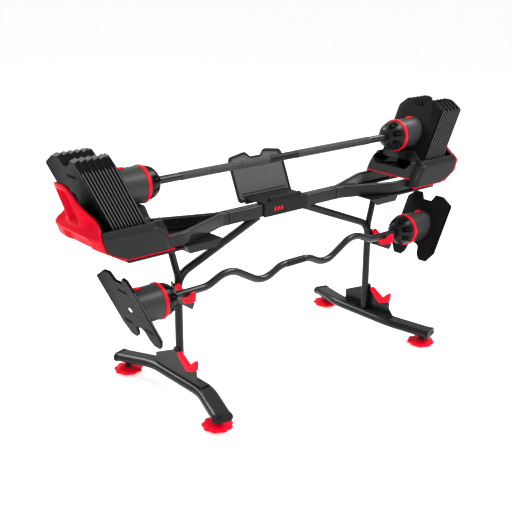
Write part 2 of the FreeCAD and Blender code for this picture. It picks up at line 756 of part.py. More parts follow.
def media_panel(name):
    """The leaning board, with two horns and a sunken face."""
    piece = body(name, "0", "rack_back", "beam_top - rack_drop", (1, 0, 0), "-rack_lean")
    outline = sketch(piece, "XZ")
    right = [("rack_half - rack_corner", "0"), ("rack_half", "rack_corner"),
             ("rack_half", "rack_tall - rack_corner / 2"),
             ("rack_half - rack_corner", "rack_tall + rack_horn / 2"),
             ("2 * rack_notch", "rack_tall + rack_horn"),
             ("rack_notch + rack_horn", "rack_tall + rack_horn"), ("rack_notch", "rack_tall")]
    left = [(f"-({u})", v) for u, v in reversed(right)]
    polygon(outline, right + left)
    pad(piece, outline, "rack_thick", "One side", True)
    face = sketch(piece, "XZ")
    rectangle(face, "rack_border - rack_half", "rack_half - rack_border",
              "rack_border", "rack_tall - 2 * rack_border")
    pocket(piece, face, "rack_recess", "One side")


def media_shelf(name):
    """The shelf over the beams, with a front cover and a rear bracket for the board."""
    piece = body(name)
    front = "-(pair_half + beam_wide / 2)"
    top = "beam_top + shelf_thick"
    behind = "rack_back - slide_gap"
    foot = "beam_top - rack_drop - shelf_thick"
    section = sketch(piece, "YZ")
    polygon(section, [
        (front, "beam_top"), (front, "beam_top - shelf_skirt"), ("-shelf_front", "beam_top - shelf_skirt"),
        ("-shelf_front", top), (behind, top), (behind, foot),
        (f"{behind} - shelf_thick", foot), (f"{behind} - shelf_thick", "beam_top")])
    pad(piece, section, "2 * shelf_half")
    lip = sketch(piece, "YZ")
    polygon(lip, [("-shelf_front", top), ("shelf_thick - shelf_front", f"{top} + shelf_lip"),
                  ("shelf_thick + shelf_lip_thick - shelf_front", f"{top} + shelf_lip"),
                  ("shelf_thick + shelf_lip_thick - shelf_front", top)])
    pad(piece, lip, "2 * shelf_lip_half")


# ---- bars and weight heads ---------------------------------------------------

def straight_shaft(name):
    """The barbell's shaft, thicker where it is knurled, with a groove ring at each mark."""
    piece = body(name, "0", "0", "straight_rise")
    outline = sketch(piece, "XZ")
    steps = [("knurl_start", "knurl_radius"), ("groove_one", "grip_radius"),
             ("groove_one + groove_wide", "knurl_radius"), ("groove_two", "grip_radius"),
             ("groove_two + groove_wide", "knurl_radius"),
             ("leg_reach - knurl_inset", "grip_radius")]
    right = []
    radius = "grip_radius"
    for place, following in steps:
        right += [(place, radius), (place, following)]
        radius = following
    right += [("shaft_end", radius), ("shaft_end", "0")]
    left = [(f"-({u})", v) for u, v in reversed(right)]
    polygon(outline, right + left)
    revolve(piece, outline)


def curl_shaft(name, rest):
    """The curl bar's shaft, bent up and down on each side of its middle."""
    piece = body(name, "0", *rest)
    section = sketch(piece, "YZ", "-shaft_end")
    circle(section, "0", "0", "grip_radius")
    path = sketch(piece, "XZ")
    right = [("curl_middle", "0"), ("curl_low", "-curl_wave"), ("curl_high", "curl_wave"),
             ("curl_flat", "0"), ("shaft_end", "0")]
    left = [(f"-({u})", v) for u, v in reversed(right)]
    route(path, left + right, "curl_bend")
    pipe(piece, section, path)


def plate_outline(drawing):
    """The H-like outline of every plate, in its own leaning plane."""
    half = [
        ("notch_half", "plate_top - notch_deep"), ("notch_half + notch_slope", "plate_top"),
        ("plate_half - 5 * wing_cut / 4", "plate_top"), ("plate_half", "plate_top - 4 * wing_cut / 5"),
        ("plate_half", "4 * wing_cut / 3 - plate_bottom"), ("plate_half - wing_cut", "-plate_bottom"),
        ("slot_half + 3 * notch_slope / 2", "-plate_bottom"),
        ("slot_half + notch_slope / 2", "slot_deep / 3 - plate_bottom"),
        ("slot_half", "slot_deep - notch_slope / 2 - plate_bottom"),
        ("slot_half - notch_slope", "slot_deep - plate_bottom"),
    ]
    other = [(f"-({u})", v) for u, v in reversed(half)]
    polygon(drawing, half + other)


def rod_holes(piece, thick):
    """Holes that the level rods pass through a leaning plate without touching."""
    rise = f"{thick} / 2 * tan(lean)"
    drawing = sketch(piece, "YZ")
    for back in (-1, 1):
        circle(drawing, f"{back} * rod_spread", rise, f"rod_radius / cos(lean) + {rise} + slide_gap")
    pocket(piece, drawing)


def end_plate(name, side, rest):
    """The plate fixed to a barrel's outer end."""
    piece = body(name, f"{side} * head_reach", *rest, (0, 1, 0), f"{side} * lean")
    outline = sketch(piece, "YZ")
    plate_outline(outline)
    pad(piece, outline, "end_thick", "One side", side < 0)
    rod_holes(piece, "end_thick")


def weight_plate(name, side, order, rest):
    """A selectable plate: two ribs thick, with a groove down its front and rear edges."""
    piece = body(name, f"{side} * (first_plate + {order} * plate_pitch)", *rest,
                 (0, 1, 0), f"{side} * lean")
    outline = sketch(piece, "YZ")
    plate_outline(outline)
    pad(piece, outline, "plate_thick", "One side", side < 0)
    rod_holes(piece, "plate_thick")
    middle = f"{side} * plate_thick / 2"
    for back in (-1, 1):
        groove = sketch(piece, "XY")
        edge = f"{back} * (plate_half + slide_gap)"
        polygon(groove, [(f"{middle} - rib_groove", edge),
                         (middle, f"{back} * (plate_half - rib_groove)"),
                         (f"{middle} + rib_groove", edge)])
        pocket(piece, groove)


def barrel(name, side, rest):
    """The drum behind the knob, cut obliquely where the leaning end plate closes it."""
    piece = body(name, "0", *rest)
    far = f"{side} * (head_reach + barrel_radius * tan(lean) + past)"
    start = f"{side} * barrel_start"
    step = f"{side} * (barrel_start + ring_wide)"
    floor = f"{side} * (barrel_start + barrel_floor)"
    outline = sketch(piece, "XZ")
    polygon(outline, [
        (start, "grip_radius"), (start, "ring_radius"), (step, "ring_radius"), (step, "barrel_radius"),
        (far, "barrel_radius"), (far, "barrel_radius - barrel_wall"),
        (floor, "barrel_radius - barrel_wall"), (floor, "grip_radius")])
    revolve(piece, outline)
    slant = sketch(piece, "XZ")
    high = "2 * barrel_radius"
    beyond = f"{side} * (head_reach + 2 * {high})"
    polygon(slant, [(f"{side} * (head_reach - {high} * tan(lean))", f"-{high}"),
                    (f"{side} * (head_reach + {high} * tan(lean))", high),
                    (beyond, high), (beyond, f"-{high}")])
    pocket(piece, slant)
    window = sketch(piece, "XY", "barrel_radius / 2")
    tab_rectangle(window, side, "slide_gap")
    pocket(piece, window, "barrel_radius", "One side", True)


def tab_rectangle(drawing, side, spare):
    """The lock tab's outline seen from above."""
    middle = f"{side} * (head_reach - tab_inset + barrel_radius * tan(lean))"
    rectangle(drawing, f"{middle} - tab_long / 2 - {spare}", f"{middle} + tab_long / 2 + {spare}",
              f"-tab_wide / 2 - {spare}", f"tab_wide / 2 + {spare}")


def lock_tab(name, side, rest):
    """The release button in the top of a barrel."""
    piece = body(name, "0", *rest)
    drawing = sketch(piece, "XY", "barrel_radius - tab_root")
    tab_rectangle(drawing, side, "0")
    pad(piece, drawing, "tab_root + tab_proud", "One side")


def knob(name, side, rest):
    """The fluted selector knob that turns on the shaft."""
    piece = body(name, "0", *rest)
    bore = "grip_radius + running_gap"
    outline = sketch(piece, "XZ")
    polygon(outline, [
        (f"{side} * knob_start", bore), (f"{side} * knob_start", "knob_hub"),
        (f"{side} * (knob_start + knob_step / 2)", "knob_hub + knob_step / 3"),
        (f"{side} * (knob_start + knob_step)", "knob_radius - 3 * knob_step / 2"),
        (f"{side} * (knob_back - 2 * knob_rim)", "knob_radius - knob_step / 2"),
        (f"{side} * (knob_back - knob_rim)", "knob_radius"),
        (f"{side} * knob_back", "knob_radius"), (f"{side} * knob_back", bore)])
    revolve(piece, outline)
    flute = sketch(piece, "XY", "knob_radius - flute_deep")
    rectangle(flute, f"{side} * (knob_start + knob_step)", f"{side} * (knob_back - knob_rim / 2)",
              "-flute_wide / 2", "flute_wide / 2")
    cut = pocket(piece, flute, "knob_radius", "One side", True)
    ring_of(piece, cut, "X", "knob_flutes")


def lock_rods(name, side, rest):
    """Two rods on a yoke inside the barrel, aimed at the holes through the plates."""
    piece = body(name, "0", *rest)
    frame = sketch(piece, "YZ", f"{side} * yoke_start")
    rectangle(frame, "-rod_spread - 2 * rod_radius", "rod_spread + 2 * rod_radius",
              "-grip_radius - yoke_thick", "grip_radius + yoke_thick")
    circle(frame, "0", "0", "grip_radius + slide_gap")
    pad(piece, frame, "yoke_thick", "One side", side < 0)
    rods = sketch(piece, "YZ", f"{side} * yoke_start")
    for back in (-1, 1):
        circle(rods, f"{back} * rod_spread", "0", "rod_radius")
    pad(piece, rods, "yoke_in - (rod_radius + slide_gap) * tan(lean)", "One side", side < 0)


def heads(bar, rest):
    """Everything that sits on one bar's two ends."""
    for side, hand in ((-1, "left"), (1, "right")):
        barrel(f"{bar}_barrel_{hand}", side, rest)
        knob(f"{bar}_knob_{hand}", side, rest)
        end_plate(f"{bar}_end_plate_{hand}", side, rest)
        lock_tab(f"{bar}_lock_tab_{hand}", side, rest)
        lock_rods(f"{bar}_lock_rods_{hand}", side, rest)


def build():
    hooks = {"low": ("hook_reach", "hook_low"),
             "middle": ("hook_reach - hook_step", "hook_low + hook_rise")}
    curl_rest = ("curl_out", "curl_rise")
    for side, hand in ((-1, "left"), (1, "right")):
        base_tube(f"base_tube_{hand}", side)
        base_caps(f"base_cap_{hand}", side)
        leg(f"leg_{hand}", side)
        low_hook_plate(f"low_hook_plate_{hand}", side)
        middle_hook_plate(f"middle_hook_plate_{hand}", side, *hooks["middle"])
        for level, place in hooks.items():
            hook_liner(f"{level}_hook_liner_{hand}", side, *place)
        arms = []
        for back, end in ((-1, "front"), (1, "rear")):
            foot(f"foot_{hand}_{end}", side, back)
            arms.append(beam_arm(f"beam_arm_{hand}_{end}", side, back))
        together(f"beam_arms_{hand}", arms)
        tray_shell(f"tray_shell_{hand}", side)
        tray_liner(f"tray_liner_{hand}", side)
    centre_beams("centre_beam")
    bolts("bolts")
    media_panel("media_panel")
    media_shelf("media_shelf")
    barbell_rest = ("0", "straight_rise")
    straight_shaft("barbell_shaft")
    heads("barbell", barbell_rest)
    curl_shaft("curl_shaft", curl_rest)
    heads("curl", curl_rest)
    for side, hand in ((-1, "left"), (1, "right")):
        for order in range(int(SIZES["plate_count"])):
            weight_plate(f"weight_plate_{hand}_{order + 1}", side, order, barbell_rest)


def write():
    """Check every feature, then write one STEP file per piece."""
    DOC.recompute()
    faulty = [item.Label for item in DOC.Objects if "Invalid" in item.State or "Error" in item.State]
    if faulty:
        raise RuntimeError(f"features that failed: {faulty}")
    for piece in PARTS:
        if piece.Shape.isNull() or not piece.Shape.isValid():
            raise RuntimeError(f"bad solid: {piece.Label}")
    os.makedirs("parts", exist_ok=True)
    for piece in PARTS:
        piece.Shape.exportStep(f"parts/{piece.Label}.step")
    print(len(PARTS), "parts written")


build()
write()
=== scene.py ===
import json
import math

import bmesh
import bpy
from bpy.props import FloatProperty, IntProperty, PointerProperty
from mathutils import Euler, Matrix, Vector


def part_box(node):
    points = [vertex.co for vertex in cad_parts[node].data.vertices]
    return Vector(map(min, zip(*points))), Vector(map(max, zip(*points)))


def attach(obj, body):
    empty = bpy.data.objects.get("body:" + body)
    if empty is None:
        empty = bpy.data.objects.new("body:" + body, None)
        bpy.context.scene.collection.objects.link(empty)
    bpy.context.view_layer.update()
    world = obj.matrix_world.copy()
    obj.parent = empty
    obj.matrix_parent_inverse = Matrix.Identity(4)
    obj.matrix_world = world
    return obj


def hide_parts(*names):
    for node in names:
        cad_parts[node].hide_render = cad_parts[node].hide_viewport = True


bl_info = {
    "name": "Barbell station",
    "version": (1, 0, 0),
    "blender": (4, 5, 0),
    "location": "View3D > Sidebar > Barbell station",
    "description": "Builds the visible pieces of an adjustable barbell and curl bar on their stand",
    "category": "Object",
}

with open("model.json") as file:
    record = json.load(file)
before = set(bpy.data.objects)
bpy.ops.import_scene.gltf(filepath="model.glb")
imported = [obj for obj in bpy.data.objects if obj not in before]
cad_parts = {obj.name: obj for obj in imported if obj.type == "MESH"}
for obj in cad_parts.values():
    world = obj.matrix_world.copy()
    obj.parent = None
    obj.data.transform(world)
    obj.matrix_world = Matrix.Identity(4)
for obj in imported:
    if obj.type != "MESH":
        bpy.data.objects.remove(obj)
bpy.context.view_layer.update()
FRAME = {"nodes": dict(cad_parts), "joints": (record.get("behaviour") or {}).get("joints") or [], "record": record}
SIDES = {"left": -1, "right": 1}
BARS = {"barbell": "barbell", "curl": "curl_bar"}
ENDS = {"front": -1, "rear": 1}
LEAN = math.radians(22.5)
PLATES = 5
END_THICK = 0.0107
PLATE_THICK = 0.0207
PLATE_DROP = 0.140          # from a head's axis down to its plate's lower edge
BARE_BAR = 0.014            # radius of a bar without its grips


# ---- sizes ---------------------------------------------------------------------

def length(name, description, default):
    """A size in metres that the panel shows."""
    return FloatProperty(name=name, description=description, default=default,
                         subtype="DISTANCE", unit="LENGTH")


class SizesOfHeads(bpy.types.PropertyGroup):
    ring_band: length("Ring", "Width of the red ring behind a knob", 0.012)
    edge: length("Edge", "Rounding of the drums' edges", 0.003)
    window_deep: length("Window depth", "Depth of the knob's grip windows", 0.0095)
    windows: IntProperty(name="Windows", description="Grip windows around a knob", default=8)
    fold: length("Fold", "How far a wing bends outwards at a plate's top corner", 0.018)
    rib_deep: length("Rib", "Depth of the grooves between the ribs", 0.005)
    screw: length("Screw", "Radius of the screw in an end plate", 0.0095)


class SizesOfTrays(bpy.types.PropertyGroup):
    skin: length("Skin", "Thickness of the tray's mouldings", 0.0045)
    seam: length("Seam", "Height of the red seam line", 0.0022)
    crease_round: length("Crease", "Rounding where the apron turns over", 0.015)
    wrap: length("Wrap", "Rounding of the apron's upright corner", 0.032)
    handle_deep: length("Handle", "Depth of the handle recess in the outer end", 0.024)
    block_lean: FloatProperty(name="Block lean", default=0.40,
                              description="How far the inner block leans out as it rises")
    cup_edge: length("Cup edge", "Rounding of the cups' edges", 0.0025)


class SizesOfStand(bpy.types.PropertyGroup):
    beam_round: length("Beam corner", "Rounding of the beams' corners", 0.006)
    lobe_deep: length("Lobe", "Depth of the scallops around a foot", 0.009)
    lobes: IntProperty(name="Lobes", description="Lobes around a foot", default=9)
    foot_growth: FloatProperty(name="Foot growth", default=1.15,
                               description="A foot's lobes against its plain disc")


# ---- outlines ------------------------------------------------------------------

def rounded(corners, radius, steps=5, closed=True):
    """The corners, as 2D or 3D points, with each one turned into an arc-like curve."""
    spots = [Vector(c) for c in corners]
    count = len(spots)
    curve = []
    for index, spot in enumerate(spots):
        if not closed and index in (0, count - 1):
            curve.append(spot)
            continue
        before = spots[index - 1] - spot
        after = spots[(index + 1) % count] - spot
        size = radius[index] if isinstance(radius, (list, tuple)) else radius
        half = before.angle(after) / 2
        reach = min(size / math.tan(half), before.length * 0.49, after.length * 0.49)
        if size <= 0 or reach < 1e-6:
            curve.append(spot)
            continue
        start = spot + before.normalized() * reach
        end = spot + after.normalized() * reach
        bend = reach * math.tan(half)
        centre = spot + (before.normalized() + after.normalized()).normalized() * (bend / math.sin(half))
        turn = math.pi - 2 * half
        for step in range(steps + 1):
            share = step / steps
            blend = (start - centre) * math.sin((1 - share) * turn) + (end - centre) * math.sin(share * turn)
            curve.append(centre + blend / math.sin(turn) if turn > 1e-4 else start.lerp(end, share))
    return curve


def mirrored(half):
    """A closed outline from its right half, given from top to bottom as (across, up)."""
    return half + [(-u, v) for u, v in reversed(half)]


def smooth_step(low, high, value):
    """From 0 at low to 1 at high, level at both ends."""
    share = max(0.0, min(1.0, (value - low) / (high - low)))
    return share * share * (3 - 2 * share)


def along(table, value):
    """Look a value up in a table of (value, result) pairs, straight between them."""
    for (low, first), (high, last) in zip(table, table[1:]):
        if value <= high:
            share = max(0.0, (value - low) / (high - low))
            return first + (last - first) * share
    return table[-1][1]


# ---- mesh helpers --------------------------------------------------------------

def rim_bevel(bm, edges, size, segments=2):
    """Round some edges."""
    bmesh.ops.bevel(bm, geom=edges, offset=size, offset_type="OFFSET", segments=segments,
                    profile=0.5, affect="EDGES", material=-1, clamp_overlap=True)


def prism(bm, outline, low, high, place, edge=0.0, segments=2):
    """Extrude a flat outline from low to high and round its rims."""
    base = bm.faces.new([bm.verts.new(place(u, v, low)) for u, v in outline])
    grown = bmesh.ops.extrude_face_region(bm, geom=[base])["geom"]
    risen = [item for item in grown if isinstance(item, bmesh.types.BMVert)]
    bmesh.ops.translate(bm, verts=risen, vec=place(0, 0, high) - place(0, 0, low))
    if edge > 0:
        top = [item for item in grown if isinstance(item, bmesh.types.BMFace)]
        rims = {e for face in (base, *top) for e in face.edges}
        rim_bevel(bm, list(rims), edge, segments)


def lathe(bm, profile, centre, side, segments=64):
    """Spin a profile of (along X, radius) pairs about a level axis through the centre."""
    chain = [bm.verts.new(centre + Vector((side * x, 0, radius))) for x, radius in profile]
    edges = [bm.edges.new(pair) for pair in zip(chain, chain[1:])]
    if (Vector(profile[0]) - Vector(profile[-1])).length > 1e-6:
        edges.append(bm.edges.new((chain[-1], chain[0])))
    bmesh.ops.spin(bm, geom=chain + edges, cent=centre, axis=(1, 0, 0), angle=math.tau,
                   steps=segments, use_merge=True, use_duplicate=False)
    bmesh.ops.remove_doubles(bm, verts=bm.verts, dist=1e-6)


def surface(bm, rows, closed_round=False):
    """Faces over a table of points."""
    verts = [[bm.verts.new(point) for point in row] for row in rows]
    for one, other in zip(verts, verts[1:]):
        count = len(one)
        for index in range(count if closed_round else count - 1):
            after = (index + 1) % count
            bm.faces.new((one[index], one[after], other[after], other[index]))
    return verts


def border(table):
    """The points around the edge of a table."""
    return (table[0] + [row[-1] for row in table[1:]] + table[-1][-2::-1]
            + [row[0] for row in table[-2:0:-1]])


def band(bm, rings):
    """A closed band through rings of points, the last joined to the first."""
    surface(bm, [*rings, rings[0]], closed_round=True)
    bmesh.ops.remove_doubles(bm, verts=bm.verts, dist=1e-7)


def shell(bm, outer, inner):
    """A closed skin between two tables of points of one size."""
    front = surface(bm, outer)
    back = surface(bm, inner)
    one, other = border(front), border(back)
    count = len(one)
    for index in range(count):
        after = (index + 1) % count
        bm.faces.new((one[index], one[after], other[after], other[index]))


def sweep(bm, section, path, up=Vector((0, 0, 1))):
    """Carry a closed section of (across, up) pairs along a path of points, capped at both ends."""
    rows = []
    for index, spot in enumerate(path):
        before = path[max(index - 1, 0)]
        after = path[min(index + 1, len(path) - 1)]
        ahead = (after - before).normalized()
        across = ahead.cross(up).normalized()
        rise = across.cross(ahead).normalized()
        stretch = 1.0
        if 0 < index < len(path) - 1:
            stretch = 1 / max(0.5, math.cos((after - spot).angle(spot - before) / 2))
        rows.append([spot + across * (u * stretch) + rise * v for u, v in section])
    verts = surface(bm, rows, closed_round=True)
    bm.faces.new(list(reversed(verts[0])))
    bm.faces.new(verts[-1])


def ring_of_points(radius, count=24):
    """A circle as (across, up) pairs."""
    return [(radius * math.cos(math.tau * k / count), radius * math.sin(math.tau * k / count))
            for k in range(count)]


def box_section(wide, tall, radius, steps=3):
    """A rectangle with round corners, about its middle."""
    corners = [(-wide / 2, -tall / 2), (wide / 2, -tall / 2), (wide / 2, tall / 2), (-wide / 2, tall / 2)]
    return [tuple(p) for p in rounded(corners, radius, steps)]


def finish_piece(bm, name, body, slot, replaces=(), angle=35, others=()):
    """Turn the mesh into an object that rides on a body, with one material or more."""
    bmesh.ops.recalc_face_normals(bm, faces=bm.faces)
    limit = math.radians(angle)
    for face in bm.faces:
        face.smooth = True
    for edge in bm.edges:
        edge.smooth = len(edge.link_faces) == 2 and edge.calc_face_angle(0.0) < limit
    mesh = bpy.data.meshes.new(name)
    bm.to_mesh(mesh)
    bm.free()
    piece = bpy.data.objects.new(name, mesh)
    bpy.context.scene.collection.objects.link(piece)
    even = piece.modifiers.new("even_shading", "WEIGHTED_NORMAL")
    even.keep_sharp = True
    for material in (slot, *others):
        piece.data.materials.append(bpy.data.materials[material])
    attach(piece, body)
    if replaces:
        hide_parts(*replaces)
    return piece


def middle(node):
    """The middle of a node's box."""
    low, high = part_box(node)
    return (low + high) / 2


# ---- materials -----------------------------------------------------------------

class Flow:
    """A shader value: arithmetic on it adds Math nodes, and node() adds any other node."""

    def __init__(self, tree, socket=None):
        self.tree = tree
        self.socket = socket

    def node(self, kind, settings, sockets, output=0):
        """A node of a kind: its settings first, then the values or links of its sockets."""
        made = self.tree.nodes.new(kind)
        for key, item in settings.items():
            setattr(made, key, item)
        for key, item in sockets.items():
            if isinstance(item, Flow):
                self.tree.links.new(item.socket, made.inputs[key])
            else:
                made.inputs[key].default_value = item
        return Flow(self.tree, made.outputs[output] if made.outputs else None)

    def maths(self, operation, *values):
        """A Math node on numbers and flows, this one's tree taking the node."""
        return self.node("ShaderNodeMath", {"operation": operation}, dict(enumerate(values)))

    def __add__(self, other):
        return self.maths("ADD", self, other)

    def __sub__(self, other):
        return self.maths("SUBTRACT", self, other)

    def __rsub__(self, other):
        return self.maths("SUBTRACT", other, self)

    def __mul__(self, other):
        return self.maths("MULTIPLY", self, other)

    __radd__ = __add__
    __rmul__ = __mul__


def blank(name):
    """Empty a material; returns its object coordinates."""
    material = bpy.data.materials.get(name) or bpy.data.materials.new(name)
    material.use_nodes = True
    material.node_tree.nodes.clear()
    return Flow(material.node_tree).node("ShaderNodeTexCoord", {}, {}, "Object")


def shade(place, sockets):
    """Close a material with its shader and the shader's values or links."""
    shader = place.node("ShaderNodeBsdfPrincipled", {}, sockets)
    place.node("ShaderNodeOutputMaterial", {}, {"Surface": shader})


def grained(name, colour, roughness, metallic, specular, scale, depth, spread):
    """A fine moulded grain: uneven gloss and a shallow bump, and on some a wandering shade."""
    place = blank(name)
    noise = place.node("ShaderNodeTexNoise", {}, {"Vector": place, "Scale": scale, "Detail": 3.0})
    bump = place.node("ShaderNodeBump", {}, {"Height": noise, "Strength": 0.35, "Distance": depth})
    base = (*colour, 1.0)
    if name in WANDERING:
        drift = place.node("ShaderNodeTexNoise", {}, {"Vector": place, "Scale": 14.0, "Detail": 4.0})
        lighter = (*(1.25 * channel for channel in colour), 1.0)
        base = place.node("ShaderNodeMix", {"data_type": "RGBA"}, {0: drift, 6: base, 7: lighter}, 2)
    shade(place, {"Base Color": base, "Roughness": noise * spread + (roughness - spread / 2),
                  "Metallic": metallic, "Specular IOR Level": specular, "Normal": bump})


def knurled(name, colour, specular, pitch, axis):
    """Crossed fine grooves around a level bar."""
    place = blank(name)
    run, back, rise = (place.node("ShaderNodeSeparateXYZ", {}, {"Vector": place}, way) for way in "XYZ")
    turn = place.maths("ARCTAN2", rise - axis.z, back - axis.y) * 0.015
    waves = [place.maths("SINE", slant * (math.tau / pitch)) for slant in (run + turn, run - turn)]
    height = place.maths("MAXIMUM", *waves)
    bump = place.node("ShaderNodeBump", {}, {"Height": height, "Strength": 0.8, "Distance": 0.0004})
    shade(place, {"Base Color": (*colour, 1.0), "Roughness": 0.42 - height * 0.08,
                  "Specular IOR Level": specular, "Normal": bump})


WANDERING = ("frame", "tray_dark", "plate")
MATERIALS = {
    # name: (colour, roughness, metallic, specular level, grain scale, grain depth, spread)
    "frame": ((0.007, 0.007, 0.0075), 0.25, 0.0, 0.19, 900.0, 0.0002, 0.10),
    "plastic_dark": ((0.012, 0.012, 0.0125), 0.40, 0.0, 0.07, 1400.0, 0.0002, 0.12),
    "board": ((0.085, 0.085, 0.088), 0.45, 0.0, 0.08, 1400.0, 0.0002, 0.12),
    "tray_dark": ((0.012, 0.012, 0.0125), 0.30, 0.0, 0.13, 1400.0, 0.0002, 0.12),
    "barrel": ((0.031, 0.031, 0.032), 0.34, 0.0, 0.20, 1400.0, 0.0001, 0.10),
    "knob": ((0.009, 0.009, 0.0095), 0.32, 0.0, 0.13, 1400.0, 0.0002, 0.12),
    "plate": ((0.007, 0.007, 0.0075), 0.44, 0.0, 0.03, 1100.0, 0.0001, 0.12),
    # a lighter copy of the plate's black, used as a painted highlight on the rib crests
    "plate_rim": ((0.070, 0.070, 0.072), 0.36, 0.0, 0.10, 1100.0, 0.0001, 0.12),
    "tray_red": ((0.68, 0.001, 0.018), 0.42, 0.0, 0.03, 1400.0, 0.0001, 0.08),
    "hook_red": ((0.90, 0.002, 0.022), 0.40, 0.0, 0.05, 1400.0, 0.0001, 0.08),
    "foot_red": ((0.95, 0.003, 0.026), 0.42, 0.0, 0.04, 1400.0, 0.0001, 0.08),
    "tab_red": ((0.90, 0.003, 0.020), 0.36, 0.0, 0.10, 1400.0, 0.0001, 0.06),
    "bar": ((0.009, 0.009, 0.0095), 0.26, 0.0, 0.30, 1200.0, 0.0001, 0.10),
    "fastener": ((0.05, 0.05, 0.052), 0.34, 0.9, 0.5, 800.0, 0.0001, 0.10),
    "bright_steel": ((0.72, 0.72, 0.74), 0.20, 1.0, 0.5, 600.0, 0.0001, 0.10),
    # near black without gloss: black joints and rivets, and painted shade in holes, slots, grip windows, rib
    # grooves and round the lock tabs
    "void_black": ((0.002, 0.002, 0.002), 0.7, 0.0, 0.02, 500.0, 0.0001, 0.05),
}


class STATION_OT_materials(bpy.types.Operator):
    """Make every material and give the frame's own pieces theirs"""
    bl_idname = "station.materials"
    bl_label = "Materials"

    def execute(self, context):
        for name, values in MATERIALS.items():
            grained(name, *values)
        knurled("knurled", (0.022, 0.022, 0.0235), 0.38, 0.0024, middle("barbell_shaft"))
        slots = {entry["node"]: entry["material_slot"] for entry in FRAME["record"]["subparts"]}
        for name, piece in FRAME["nodes"].items():
            piece.data.materials.clear()
            piece.data.materials.append(bpy.data.materials[slots[name]])
        return {"FINISHED"}


# ---- feet, hooks and beams -----------------------------------------------------

class STATION_OT_feet(bpy.types.Operator):
    """Lobed levelling feet with their studs"""
    bl_idname = "station.feet"
    bl_label = "Feet"

    def execute(self, context):
        sizes = context.scene.station_stand
        for hand in SIDES:
            for end in ENDS:
                node = f"foot_{hand}_{end}"
                low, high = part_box(node)
                radius = (high.y - low.y) / 2
                centre = Vector((self.stud_x(hand), (low.y + high.y) / 2, low.z))
                self.lobed(sizes, node, centre, radius)
        return {"FINISHED"}

    def stud_x(self, hand):
        """Where the feet of one side turn."""
        return next(j["pos_m"][0] for j in FRAME["joints"] if j["child"] == f"foot_{hand}_front")

    def lobed(self, sizes, node, centre, radius):
        """One foot: a scalloped disc, its stud and the nut on it."""
        bm = bmesh.new()
        radius *= sizes.foot_growth
        steps = sizes.lobes * 12
        profile = [(0.70, 0.0), (0.72, 0.001), (0.72, 0.005), (0.93, 0.0065), (0.99, 0.0085), (1.0, 0.011),
                   (0.985, 0.0145), (0.94, 0.0168), (0.86, 0.018), (0.50, 0.0195), (0.30, 0.0205)]
        rows = []
        for share, rise in profile:
            row = []
            for step in range(steps):
                turn = math.tau * step / steps
                wave = abs(math.sin(sizes.lobes * turn / 2)) ** 0.7
                dent = sizes.lobe_deep * (1 - wave) * smooth_step(0.6, 0.95, share)
                reach = radius * share - dent
                row.append(centre + Vector((reach * math.cos(turn), reach * math.sin(turn), rise)))
            rows.append(row)
        verts = surface(bm, rows, closed_round=True)
        bm.faces.new(verts[0])
        bm.faces.new(verts[-1])
        finish_piece(bm, node + "_knob", node, "foot_red", (node,), 50)
        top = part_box(node)[1].z - centre.z
        for part, section, span in (("stud", ring_of_points(0.0059), (0.018, top - 0.0002)),
                                    ("nut", ring_of_points(0.0125, 6), (0.0202, 0.0282))):
            bm = bmesh.new()
            sweep(bm, section, [centre + Vector((0, 0, z)) for z in span], Vector((0, 1, 0)))
            finish_piece(bm, f"{node}_{part}", node, "fastener")


class STATION_OT_base_caps(bpy.types.Operator):
    """A moulded ring on the face of every base cap"""
    bl_idname = "station.base_caps"
    bl_label = "Base caps"

    def execute(self, context):
        for hand in SIDES:
            node = f"base_cap_{hand}"
            mesh = FRAME["nodes"][node].data
            for end, back in ENDS.items():
                faces = {}
                for face in mesh.polygons:
                    if face.normal.y * back > 0.5 and face.center.y * back > 0:
                        faces.setdefault(tuple(round(c, 1) for c in face.normal), []).append(face)
                ahead = max(faces.values(), key=lambda group: sum(f.area for f in group))
                area = sum(f.area for f in ahead)
                normal = sum((f.normal * f.area for f in ahead), Vector()).normalized()
                centre = sum((f.center * f.area for f in ahead), Vector()) / area
                self.ring(f"{node}_{end}_ring", centre, normal)
        return {"FINISHED"}

    def ring(self, name, centre, normal):
        """A flat ring that stands proud of a cap's face."""
        across = Vector((1, 0, 0))
        up = across.cross(normal).normalized()
        if up.z < 0:
            up = -up
        bm = bmesh.new()
        outer = box_section(0.038, 0.014, 0.0065)
        inner = box_section(0.030, 0.007, 0.0032)
        levels = ((outer, -0.0005), (outer, 0.0018), (inner, 0.0018), (inner, -0.0005))
        band(bm, [[centre + across * u + up * v + normal * rise for u, v in ring] for ring, rise in levels])
        finish_piece(bm, name, "stand", "plastic_dark")


class STATION_OT_hooks(bpy.types.Operator):
    """The four red hooks that a bar lies in"""
    bl_idname = "station.hooks"
    bl_label = "Hooks"

    def execute(self, context):
        for hand in SIDES:
            for level in ("low", "middle"):
                node = f"{level}_hook_liner_{hand}"
                low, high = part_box(node)
                wide = high.x - low.x
                rear, base = high.y, low.z
                outline = [(rear - 0.007, high.z), (rear - 0.066, base + 0.026), (rear - 0.101, base + 0.058),
                           (rear - 0.108, base + 0.051), (rear - 0.1045, base + 0.019),
                           (rear - 0.052, base), (rear, high.z - 0.014)]
                bm = bmesh.new()
                shape = rounded(outline, [0.003, 0.010, 0.0035, 0.0035, 0.012, 0.012, 0.003], 4)
                prism(bm, shape, low.x, high.x, lambda u, v, w: Vector((w, u, v)), wide / 8)
                finish_piece(bm, node + "_hook", "stand", "hook_red", (node,))
                bm = bmesh.new()
                for face, out in ((high.x, 1), (low.x, -1)):
                    centre = Vector((face, rear - 0.072, base + 0.016))
                    path = [centre - Vector((out * 0.001, 0, 0)), centre + Vector((out * 0.0003, 0, 0))]
                    sweep(bm, ring_of_points(0.0022, 12), path)
                finish_piece(bm, node + "_rivets", "stand", "void_black")
        return {"FINISHED"}


